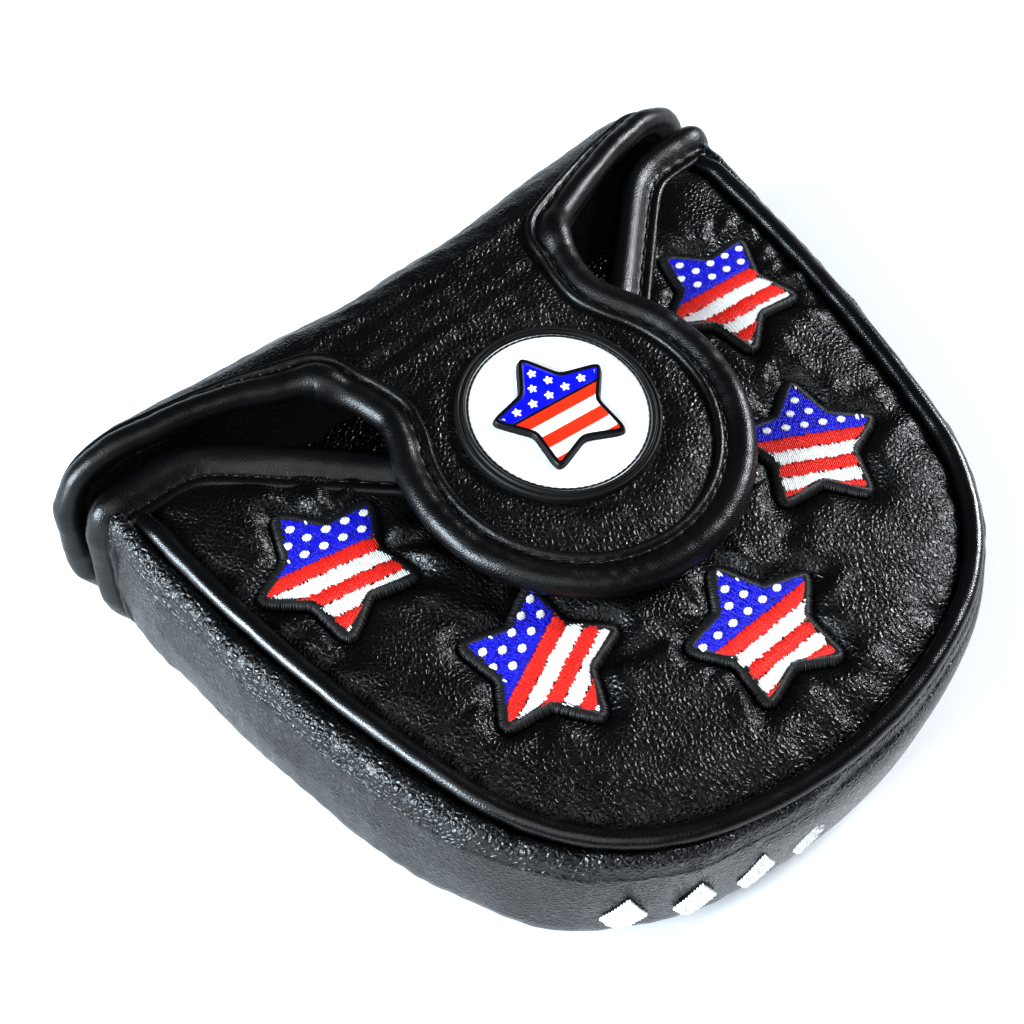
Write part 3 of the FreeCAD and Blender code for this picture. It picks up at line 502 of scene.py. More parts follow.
@dataclass(frozen=True)
class Leather:
    """Finish of pebbled or smooth leather."""

    name: str
    colour: str
    worn: str
    grain_mm: float
    depth_mm: float
    shine: float
    dull: float
    coat: float = 0.25
    crease_mm: float = 0.0

    def make(self) -> bpy.types.Material:
        """Builds the material.

        Returns:
            A leather with pebbles, pores and broad unevenness, all from the place on the object; painted
            shade darkens the valleys between the pebbles.
        """
        s = Shader(self.name)
        place = s.object_place()
        wander = s.add("TexNoise", {"Vector": place, "Scale": 0.6 / (self.grain_mm * MM), "Detail": 2.0})
        shifted = s.add("VectorMath", {0: wander.outputs["Color"], 1: (0.5, 0.5, 0.5)}, operation="SUBTRACT")
        scaled = s.add("VectorMath", {0: shifted.outputs[0], "Scale": 0.55 * self.grain_mm * MM},
                       operation="SCALE")
        moved = s.add("VectorMath", {0: place, 1: scaled.outputs[0]}, operation="ADD")
        pebble = s.add("TexVoronoi", {"Vector": moved.outputs[0], "Scale": 1 / (self.grain_mm * MM),
                                      "Randomness": 0.9}, feature="DISTANCE_TO_EDGE")
        small = s.add("TexVoronoi", {"Vector": moved.outputs[0], "Scale": 2.1 / (self.grain_mm * MM),
                                     "Randomness": 1.0}, feature="DISTANCE_TO_EDGE")
        crown = s.spread(pebble.outputs["Distance"], 0.0, 0.36, 0.0, 1.0)
        crown.node.interpolation_type = "SMOOTHSTEP"
        fine = s.spread(small.outputs["Distance"], 0.0, 0.2, 0.0, 1.0)
        fine.node.interpolation_type = "SMOOTHSTEP"
        pores = s.add("TexNoise", {"Vector": place, "Scale": 7 / (self.grain_mm * MM), "Detail": 3.0})
        broad = s.add("TexNoise", {"Vector": place, "Scale": 90.0, "Detail": 3.0})
        height = s.sums("ADD", s.sums("MULTIPLY", fine, 0.15), crown)
        height = s.sums("ADD", height, s.sums("MULTIPLY", pores.outputs["Fac"], 0.08))
        if self.crease_mm:
            creases = s.add("TexNoise", {"Vector": place, "Scale": 1 / (self.crease_mm * MM), "Detail": 4.0,
                                         "Distortion": 1.2})
            height = s.sums("ADD", height, s.sums("MULTIPLY", creases.outputs["Fac"], 0.4))
        bump = s.add("Bump", {"Height": height, "Strength": 1.0, "Distance": self.depth_mm * MM})
        # valley is 1 between the pebbles: it darkens the colour there as painted shade and adds roughness
        valley = s.spread(crown, 0.0, 0.8, 1.0, 0.0)
        patchy = s.spread(broad.outputs["Fac"], 0.35, 0.7, 0.0, 1.0)
        worn = s.tint(patchy, linear(self.colour), linear(self.worn))
        # painted shade: the colour sinks towards near black in the valleys between the pebbles
        base = s.tint(s.sums("MULTIPLY", valley, 0.6), worn, (0.0012, 0.0012, 0.0014, 1.0))
        rough = s.sums("ADD", s.spread(patchy, 0.0, 1.0, self.shine, self.dull),
                       s.sums("MULTIPLY", valley, 0.12))
        return s.finish({"Base Color": base, "Roughness": rough, "Normal": bump.outputs[0],
                         "Coat Weight": self.coat, "Coat Roughness": 0.22, "Coat Normal": bump.outputs[0],
                         "IOR": 1.5})


@dataclass(frozen=True)
class Thread:
    """Finish of embroidery or sewing thread."""

    name: str
    colour: str
    deep: str
    sheen: float = 0.5
    rough: float = 0.38

    def make(self) -> bpy.types.Material:
        """Builds the material.

        Returns:
            A twisted, lustrous thread; its twist follows the thread's own UVs.
        """
        s = Shader(self.name)
        uv = s.add("UVMap", uv_map="UVMap").outputs["UV"]
        plies = s.add("TexWave", {"Vector": uv, "Scale": 1.0, "Distortion": 0.6, "Detail": 1.0},
                      wave_type="BANDS", bands_direction="DIAGONAL")
        spot = s.add("TexNoise", {"Vector": s.object_place(), "Scale": 900.0, "Detail": 2.0})
        share = s.spread(spot.outputs["Fac"], 0.3, 0.7, 0.0, 0.7)
        base = s.tint(share, linear(self.colour), linear(self.deep))
        bump = s.add("Bump", {"Height": plies.outputs["Fac"], "Strength": 0.7, "Distance": 0.05 * MM})
        return s.finish({"Base Color": base, "Roughness": self.rough, "Normal": bump.outputs[0],
                         "Sheen Weight": self.sheen, "Sheen Roughness": 0.4, "Anisotropic": 0.5})


@dataclass(frozen=True)
class Rubber:
    """Finish of moulded rubber, in one colour or painted from the mesh."""

    name: str
    colour: str
    rough: float
    painted: bool = False

    def make(self) -> bpy.types.Material:
        """Builds the material.

        Returns:
            A satin moulding with a fine, uneven skin.
        """
        s = Shader(self.name)
        place = s.object_place()
        skin = s.add("TexNoise", {"Vector": place, "Scale": 5200.0, "Detail": 3.0})
        cloudy = s.add("TexNoise", {"Vector": place, "Scale": 240.0, "Detail": 2.0})
        if self.painted:
            base = s.add("Attribute", attribute_name="paint").outputs["Color"]
        else:
            lighter = tuple(min(1.0, v * 1.25 + 0.002) for v in linear(self.colour)[:3]) + (1.0,)
            base = s.tint(cloudy.outputs["Fac"], linear(self.colour), lighter)
        bump = s.add("Bump", {"Height": skin.outputs["Fac"], "Strength": 0.35, "Distance": 0.04 * MM})
        rough = s.spread(cloudy.outputs["Fac"], 0.3, 0.7, self.rough - 0.05, self.rough + 0.08)
        return s.finish({"Base Color": base, "Roughness": rough, "Normal": bump.outputs[0]})


@dataclass(frozen=True)
class Cloth:
    """Finish of plush, foam, patch fabric or cord."""

    name: str
    colour: str
    # colour that the raised tufts are lightened towards, a painted highlight
    tip: str
    pile_mm: float
    depth_mm: float
    sheen: float

    def make(self) -> bpy.types.Material:
        """Builds the material.

        Returns:
            A short pile or open cell surface; the raised tufts take the lighter tip colour as a painted
            highlight, varied at random by the lay noise.
        """
        s = Shader(self.name)
        place = s.object_place()
        tufts = s.add("TexVoronoi", {"Vector": place, "Scale": 1 / (self.pile_mm * MM)})
        lay = s.add("TexNoise", {"Vector": place, "Scale": 0.14 / (self.pile_mm * MM), "Detail": 3.0})
        share = s.spread(tufts.outputs["Distance"], 0.0, 0.7, 1.0, 0.0)
        # painted highlight: the raised tufts lighten towards the tip colour, more or less at random with the
        # lay noise
        base = s.tint(s.sums("MULTIPLY", share, lay.outputs["Fac"]), linear(self.colour), linear(self.tip))
        height = s.sums("ADD", share, s.sums("MULTIPLY", lay.outputs["Fac"], 1.5))
        bump = s.add("Bump", {"Height": height, "Strength": 0.9, "Distance": self.depth_mm * MM})
        return s.finish({"Base Color": base, "Roughness": 0.9, "Normal": bump.outputs[0],
                         "Sheen Weight": self.sheen, "Sheen Roughness": 0.5, "Specular IOR Level": 0.2})


@dataclass(frozen=True)
class Metal:
    """Finish of a plated magnet."""

    name: str
    colour: str

    def make(self) -> bpy.types.Material:
        """Builds the material.

        Returns:
            Nickel plate with fine scratches.
        """
        s = Shader(self.name)
        scratches = s.add("TexNoise", {"Vector": s.object_place(), "Scale": 1500.0, "Detail": 5.0})
        rough = s.spread(scratches.outputs["Fac"], 0.3, 0.7, 0.22, 0.42)
        bump = s.add("Bump", {"Height": scratches.outputs["Fac"], "Strength": 0.2, "Distance": 0.01 * MM})
        return s.finish({"Base Color": linear(self.colour), "Metallic": 1.0, "Roughness": rough,
                         "Normal": bump.outputs[0]})


class Finish(Enum):
    """Every finish of the cover."""

    PANEL = Leather("panel_leather", "040506", "07090B", 0.80, 0.080, 0.22, 0.32, 0.15, 3.0)
    FLANK = Leather("flank_leather", "050607", "08090A", 0.95, 0.15, 0.22, 0.32, 0.55)
    WRAP = Leather("wrap_leather", "040506", "07090B", 0.85, 0.085, 0.23, 0.33, 0.15)
    BINDING = Leather("binding_leather", "060708", "0A0B0C", 0.42, 0.018, 0.26, 0.36, 0.22)
    PIPING = Leather("piping_leather", "050607", "09090A", 0.40, 0.012, 0.18, 0.26, 0.5)
    BLUE = Thread("thread_blue", "0C12DC", "0406A8")
    WHITE = Thread("thread_white", "F6F6F4", "DADBDC", 0.2)
    RED = Thread("thread_red", "F2301A", "D01E10")
    BLACK = Thread("thread_black", "0D0E10", "050506", 0.35, 0.34)
    SEWING = Thread("thread_sewing", "0A0B0C", "040404", 0.2, 0.36)
    BACKING = Cloth("backing_cloth", "08090B", "121316", 0.4, 0.05, 0.2)
    BADGE = Rubber("badge_rubber", "101112", 0.5)
    FACE = Rubber("face_rubber", "F4F4F2", 0.42)
    MARK = Rubber("mark_rubber", "FFFFFF", 0.36, True)
    PLUSH = Cloth("plush_lining", "030304", "0B0B0D", 0.45, 0.30, 0.12)
    PATCH = Cloth("patch_fabric", "0A0A0B", "1B1B1D", 0.3, 0.05, 0.2)
    CORD = Cloth("cord_fibre", "9A9890", "C4C2BA", 0.25, 0.1, 0.1)
    MAGNET = Metal("magnet_plate", "B9BABC")

    @property
    def material(self) -> bpy.types.Material:
        """The finish's material, made the first time it is asked for."""
        found = bpy.data.materials.get(self.value.name)
        return found or self.value.make()


# ---------------------------------------------------------------- the two unrolled sheets


class Seam:
    """The top seam's plane and the D outline in it.

    A place is x across, a ahead of the mouth line (negative towards the back) and h above the sloping seam,
    in millimetres.  The outline is five arcs that meet tangentially: two sides, two corners and the back.
    """

    BAND_OUT = 4.5
    SIDE, CORNER, BACK = 250.0, 37.0, 74.0
    RISE, RUN = 5.5, 96.0
    FOLD_ABOVE = 5.7

    def __init__(self) -> None:
        """Takes the outline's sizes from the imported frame."""
        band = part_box("side_band")
        hinge = {j["name"]: j for j in frame["joints"]}["tongue_lift"]["pos_m"]
        self.half = band[1].x / MM - self.BAND_OUT
        self.mouth_y = hinge[1] / MM
        self.slope = math.atan(self.RISE / self.RUN)
        self.depth = (self.mouth_y - band[0].y / MM) / math.cos(self.slope) - self.BAND_OUT - 0.05
        self.height = hinge[2] / MM - self.FOLD_ABOVE
        self.line, self.normal = self._outline()
        self.along = length_along(self.line)

    def _outline(self) -> tuple[Array, Array]:
        """The arcs' points and outward normals.

        The corner's centre lies where circles of the two radius differences about the side's and the back's
        centres cross, so that all three arcs touch.

        Returns:
            Points and normals, from the left end of the mouth line to the right end.
        """
        side = np.array([self.SIDE - self.half, 0.0])
        back = np.array([0.0, self.BACK - self.depth])
        gap = np.linalg.norm(back - side)
        ahead = (back - side) / gap
        near, far = self.SIDE - self.CORNER, self.BACK - self.CORNER
        along = (near ** 2 - far ** 2 + gap ** 2) / (2 * gap)
        across = math.sqrt(near ** 2 - along ** 2)
        corner = side + ahead * along - np.array([ahead[1], -ahead[0]]) * across
        full = 2 * HALF_TURN
        first = math.atan2(corner[1] - side[1], corner[0] - side[0]) % full
        second = math.atan2(corner[1] - back[1], corner[0] - back[0]) % full
        other_corner, other_side = corner * [-1, 1], side * [-1, 1]
        mirror = 3 * HALF_TURN
        arcs = [(side, self.SIDE, HALF_TURN, first), (corner, self.CORNER, first, second),
                (back, self.BACK, second, mirror - second),
                (other_corner, self.CORNER, mirror - second, mirror - first),
                (other_side, self.SIDE, mirror - first, full)]
        points, normals = [], []
        for centre, radius, start, end in arcs:
            turn = np.linspace(start, end, 160)
            ray = np.stack([np.cos(turn), np.sin(turn)], -1)
            points.append(centre + radius * ray)
            normals.append(ray)
        return np.vstack(points), np.vstack(normals)

    def outline(self, share: Array, out: Array | float = 0.0) -> Array:
        """Places on the outline, moved outwards.

        Args:
            share: 0 at the left end of the mouth line, 1 at the right end.
            out: how far outwards.

        Returns:
            Pairs of x and a.
        """
        at = np.asarray(share) * self.along[-1]
        place = np.stack([np.interp(at, self.along, self.line[:, k]) for k in (0, 1)], -1)
        way = unit(np.stack([np.interp(at, self.along, self.normal[:, k]) for k in (0, 1)], -1))
        return place + way * np.asarray(out)[..., None]

    def world(self, x: Array, a: Array, h: Array | float) -> Array:
        """Turns seam places into the row frame.

        Args:
            x: places across.
            a: places ahead of the mouth line.
            h: heights above the seam.

        Returns:
            Points in metres.
        """
        x, a, h = np.broadcast_arrays(x, a, h)
        c, s = math.cos(self.slope), math.sin(self.slope)
        return np.stack([x, self.mouth_y + a * c - h * s, self.height + a * s + h * c], -1) * MM

    def top_at(self, a: Array) -> Array:
        """Height of the seam above the ground at a place ahead of the mouth line."""
        return self.height + a * math.sin(self.slope)


def gap_to(x: Array, y: Array, line: Array) -> Array:
    """Distance from places to the nearest point of a dense polyline.

    Args:
        x: places across.
        y: places along.
        line: points of the polyline.

    Returns:
        Distances in the shape of `x`.
    """
    flat = np.stack([np.ravel(x), np.ravel(y)], -1)
    best = np.full(len(flat), np.inf)
    for chunk in np.array_split(line, max(1, len(line) // 64)):
        best = np.minimum(best, ((flat[:, None] - chunk[None]) ** 2).sum(-1).min(1))
    return np.sqrt(best).reshape(np.shape(x))


class MouthSheet:
    """The pouch's mouth laid flat: q runs over the top and down both flanks, a runs ahead."""

    TOP_END, SHOULDER, FLANK_LOW, ROUND = 56.3, 6.0, 13.5, 13.5

    def __init__(self, seam: Seam) -> None:
        """Marks where top, shoulder, flank and lower corner end."""
        self.seam = seam
        arc = self.SHOULDER * QUARTER
        drop = seam.height - self.SHOULDER - self.FLANK_LOW
        self.marks = np.cumsum([self.TOP_END, arc, drop, self.ROUND * QUARTER])
        self.end = self.marks[-1]
        self.edge = self._edge()

    def _edge(self) -> Array:
        """The mouth's front edge: straight, with a scoop whose corners are rounded.

        Returns:
            Points of the edge, from the left flank's foot to the right one's.
        """
        corners = np.array([(-self.end, 0), (-46.0, 0.0), (-18.0, -25.0), (18.0, -25.0), (46.0, 0.0),
                            (self.end, 0)], float)
        line = soften(even(corners, 561), 150)
        return even(line + 2.4 * left_normals(line), 620)

    def world(self, q: Array, a: Array, h: Array | float) -> Array:
        """Turns places on the sheet into the row frame.

        Args:
            q: places over the top and down the flanks.
            a: places ahead of the mouth line.
            h: heights out of the sheet.

        Returns:
            Points in metres.
        """
        q, a, h = np.broadcast_arrays(q, a, h)
        side, u = np.sign(q), np.abs(q)
        m = self.marks
        shoulder = np.clip((u - m[0]) / self.SHOULDER, 0, QUARTER)
        under = np.clip((u - m[2]) / self.ROUND, 0, QUARTER)
        turn = shoulder + under
        x = np.minimum(u, m[0]) + self.SHOULDER * np.sin(shoulder) - self.ROUND * (1 - np.cos(under))
        z = self.seam.height - self.SHOULDER * (1 - np.cos(shoulder)) - np.clip(u - m[1], 0, m[2] - m[1])
        z = z - self.ROUND * np.sin(under)
        nx, nz = np.sin(turn), np.cos(turn)
        c, s = math.cos(self.seam.slope), math.sin(self.seam.slope)
        return np.stack([side * (x + nx * h), self.seam.mouth_y + a * c - nz * h * s,
                         z + nz * h * c + a * s * z / self.seam.height], -1) * MM


class WrapSheet:
    """The flap and tongue rolled out flat: X runs across, S from the flap's foot up and along the tongue.

    Rolling up keeps lengths: a place further than the core's edge goes that far along a quarter circle round
    it, and then straight back over the pouch.
    """

    CORE_X, CORE_Z, ROUND = 49.6, 26.2, 14.0
    KNEE = 18.35
    TONGUE, TONGUE_S = 28, 82.7

    def __init__(self, seam: Seam) -> None:
        """Lays out the edge of flap and tongue."""
        self.seam = seam
        self.turned = self.CORE_Z + self.ROUND * QUARTER
        self.edge = self._edge()
        self.length = length_along(self.edge)

    def _edge(self) -> Array:
        """The outer edge: up one side of the flap, in to the neck, round the tongue and back.

        Returns:
            Points of the edge, evenly spaced.
        """
        corner = np.linspace(0, 1.3, 9)[:, None]
        knee = np.hstack([self.CORE_X + self.KNEE * np.cos(corner), self.CORE_Z + self.KNEE * np.sin(corner)])
        tip = np.linspace(-0.55, QUARTER, 24)[:, None]
        head = np.hstack([self.TONGUE * np.cos(tip), self.TONGUE_S + self.TONGUE * np.sin(tip)])

        def half(flare: float) -> Array:
            """One half of the edge, its notch corner moved out by `flare`."""
            neck = [(42.5, 46.8), (36.0, 49.2), (30.0 + flare, 51.5), (24.2 + flare, 53.6),
                    (23.7 + 0.8 * flare, 57.0), (22.7 + 0.5 * flare, 60.6), (22.3 + 0.2 * flare, 64.2)]
            return np.vstack([[(60.5, 0.8), (64.4, 4.5), (67.0, 10.5), (67.95, 18)], knee, neck, head])

        line = np.vstack([half(0.0), (half(1.4) * [-1, 1])[-2::-1]])
        return even(soften(even(line, 1200), 9), 900)

    def inset(self, depth: float) -> Array:
        """The edge moved into the sheet.

        Args:
            depth: how far.

        Returns:
            Points of the inset edge, in the order of `edge`.
        """
        return self.edge + depth * left_normals(self.edge)

    def world(self, across: Array, up: Array, h: Array | float) -> Array:
        """Rolls places of the sheet onto the flap and tongue.

        Args:
            across: X places.
            up: S places.
            h: heights out of the sheet.

        Returns:
            Points in metres.
        """
        across, up, h = np.broadcast_arrays(np.asarray(across, float), np.asarray(up, float), h)
        ex = np.maximum(np.abs(across) - self.CORE_X, 0)
        ez = np.maximum(up - self.CORE_Z, 0)
        reach = np.hypot(ex, ez)
        turn = np.minimum(reach / self.ROUND, QUARTER)
        safe = np.maximum(reach, 1e-9)
        out = self.ROUND + h
        x = np.sign(across) * (np.minimum(np.abs(across), self.CORE_X) + out * np.sin(turn) * ex / safe)
        z = np.minimum(up, self.CORE_Z) + out * np.sin(turn) * ez / safe
        y = out * np.cos(turn) - np.maximum(reach - self.ROUND * QUARTER, 0)
        z = z + np.minimum(y, 0) * math.tan(self.seam.slope)
        fore = smooth_step(0, self.ROUND, y)
        middle = np.exp(-((across / 40.0) ** 2))
        ends = smooth_step(48, 66, np.abs(across))
        flare = ends * np.where(across < 0, 1.8, 0.6)
        y = y + fore * (0.6 - 4.2 * middle) * smooth_step(2, 24, up) + flare * smooth_step(2, 16, up)
        z = z - 1.5 * fore * middle * smooth_step(12, 30, up)
        x = x + np.sign(across) * flare * smooth_step(2, 16, up)
        return np.stack([x, self.seam.mouth_y + y, np.maximum(z, 0.05)], -1) * MM


# ---------------------------------------------------------------- threads


@dataclass
class Threads:
    """Short threads gathered into one object."""

    name: str
    materials: list[bpy.types.Material]
    radius: float
    starts: list[Array] = field(default_factory=list)
    ends: list[Array] = field(default_factory=list)
    ups: list[Array] = field(default_factory=list)
    arches: list[Array] = field(default_factory=list)
    slots: list[Array] = field(default_factory=list)

    RINGS = ((0.0, 0.30), (0.07, 0.82), (0.32, 1.0), (0.68, 1.0), (0.93, 0.82), (1.0, 0.30))
    SIDES = 6

    def lay(self, start: Array, end: Array, up: Array, arch: Array | float = 0.0,
            slot: Array | int = 0) -> None:
        """Adds threads.

        Args:
            start: where each begins, in metres.
            end: where each ends.
            up: direction out of the cloth.
            arch: how far each one's middle rises, in millimetres.
            slot: the material's slot.
        """
        count = len(start)
        self.starts.append(start)
        self.ends.append(end)
        self.ups.append(np.broadcast_to(up, start.shape))
        self.arches.append(np.broadcast_to(arch, count).astype(float))
        self.slots.append(np.broadcast_to(slot, count).astype(int))

    def make(self) -> bpy.types.Object:
        """Builds the object.

        Returns:
            The threads, each a closed surface with UVs that run along and round it.
        """
        start, end, up = np.vstack(self.starts), np.vstack(self.ends), np.vstack(self.ups)
        arch, slot = np.concatenate(self.arches) * MM, np.concatenate(self.slots)
        way = end - start
        ahead, side = unit(way), unit(np.cross(way, up))
        lift = unit(np.cross(side, ahead))
        rings = np.array(self.RINGS)
        turn = np.arange(self.SIDES) / self.SIDES * 2 * HALF_TURN
        t, size = rings[:, 0], rings[:, 1] * self.radius * MM
        middle = start[:, None] + way[:, None] * t[None, :, None]
        middle = middle + lift[:, None] * (arch[:, None] * (4 * t * (1 - t)))[..., None]
        round_ = np.cos(turn)[None, :, None] * side[:, None] + np.sin(turn)[None, :, None] * lift[:, None]
        verts = middle[:, :, None] + size[None, :, None, None] * round_[:, None]
        one = grid_faces(len(rings), self.SIDES, True)
        last = (len(rings) - 1) * self.SIDES
        caps = np.array([(3, 2, 1, 0), (5, 4, 3, 0), (last, last + 1, last + 2, last + 3),
                         (last, last + 3, last + 4, last + 5)])
        each = facing_out(verts[0], np.vstack([one, caps]))
        count = len(start)
        faces = (each[None] + (np.arange(count) * len(rings) * self.SIDES)[:, None, None]).reshape(-1, 4)
        length = np.linalg.norm(way, axis=1) / MM
        along = (length[:, None] * t[None]).repeat(self.SIDES, 1).ravel()
        around = np.tile(np.arange(self.SIDES) / self.SIDES, count * len(rings))
        uv = np.stack([along, around], -1)[faces.ravel()]
        return make_object(self.name, verts, faces, self.materials, slot.repeat(len(each)), uv)


def running_stitches(name: str, place: Callable[[Array, Array, Array], Array], line: Array, pitch: float,
                     gap: float, radius: float, lift: float) -> bpy.types.Object:
    """Sewing along a line on a sheet.

    Args:
        name: name of the object.
        place: turns sheet places and heights into points.
        line: the line on the sheet.
        pitch: length of a stitch with its gap.
        gap: the gap between two stitches.
        radius: radius of the thread.
        lift: height of the stitches' ends.

    Returns:
        The stitches as one object.
    """
    along = length_along(line)
    starts = np.arange(1.0, along[-1] - pitch, pitch)
    at = np.stack([starts, starts + pitch / 2, starts + pitch - gap])
    spots = np.stack([np.interp(at, along, line[:, k]) for k in (0, 1)], -1)
    sunk = place(spots[..., 0], spots[..., 1], np.full(spots.shape[:2], lift))
    raised = place(spots[..., 0], spots[..., 1], np.full(spots.shape[:2], lift + 1.0))
    threads = Threads(name, [Finish.SEWING.material], radius)
    threads.lay(sunk[0], sunk[2], unit(raised[1] - sunk[1]), 0.16)
    return threads.make()


def star_radius(turn: Array, tip: float, inner: float, blunt: float = 3.4) -> Array:
    """Radius of a five-pointed star with blunt points, one of them at a quarter turn.

    Args:
        turn: angles.
        tip: radius of the points.
        inner: radius of the notches as a share of the points'.
        blunt: how blunt the points are, in degrees.

    Returns:
        Radii.
    """
    fine = np.arange(1440) / 1440 * 2 * HALF_TURN
    step = HALF_TURN / 5
    phi = np.abs((fine - QUARTER + step) % (2 * step) - step)
    low = tip * inner
    radius = tip * low * math.sin(step) / (np.cos(phi) * low * math.sin(step)
                                           + np.sin(phi) * (tip - low * math.cos(step)))
    spread = np.exp(-((np.minimum(fine, 2 * HALF_TURN - fine) / math.radians(blunt)) ** 2) / 2)
    radius = np.fft.irfft(np.fft.rfft(radius) * np.fft.rfft(spread / spread.sum()), 1440)
    return np.interp(np.asarray(turn) % (2 * HALF_TURN), np.append(fine, 2 * HALF_TURN),
                     np.append(radius, radius[0]))


def turned(points: Array, angle: float) -> Array:
    """Turns plane points about the origin.

    Args:
        points: pairs.
        angle: angle in radians.

    Returns:
        The turned pairs.
    """
    c, s = math.cos(angle), math.sin(angle)
    return np.stack([points[..., 0] * c - points[..., 1] * s, points[..., 0] * s + points[..., 1] * c], -1)


# ---------------------------------------------------------------- emblems


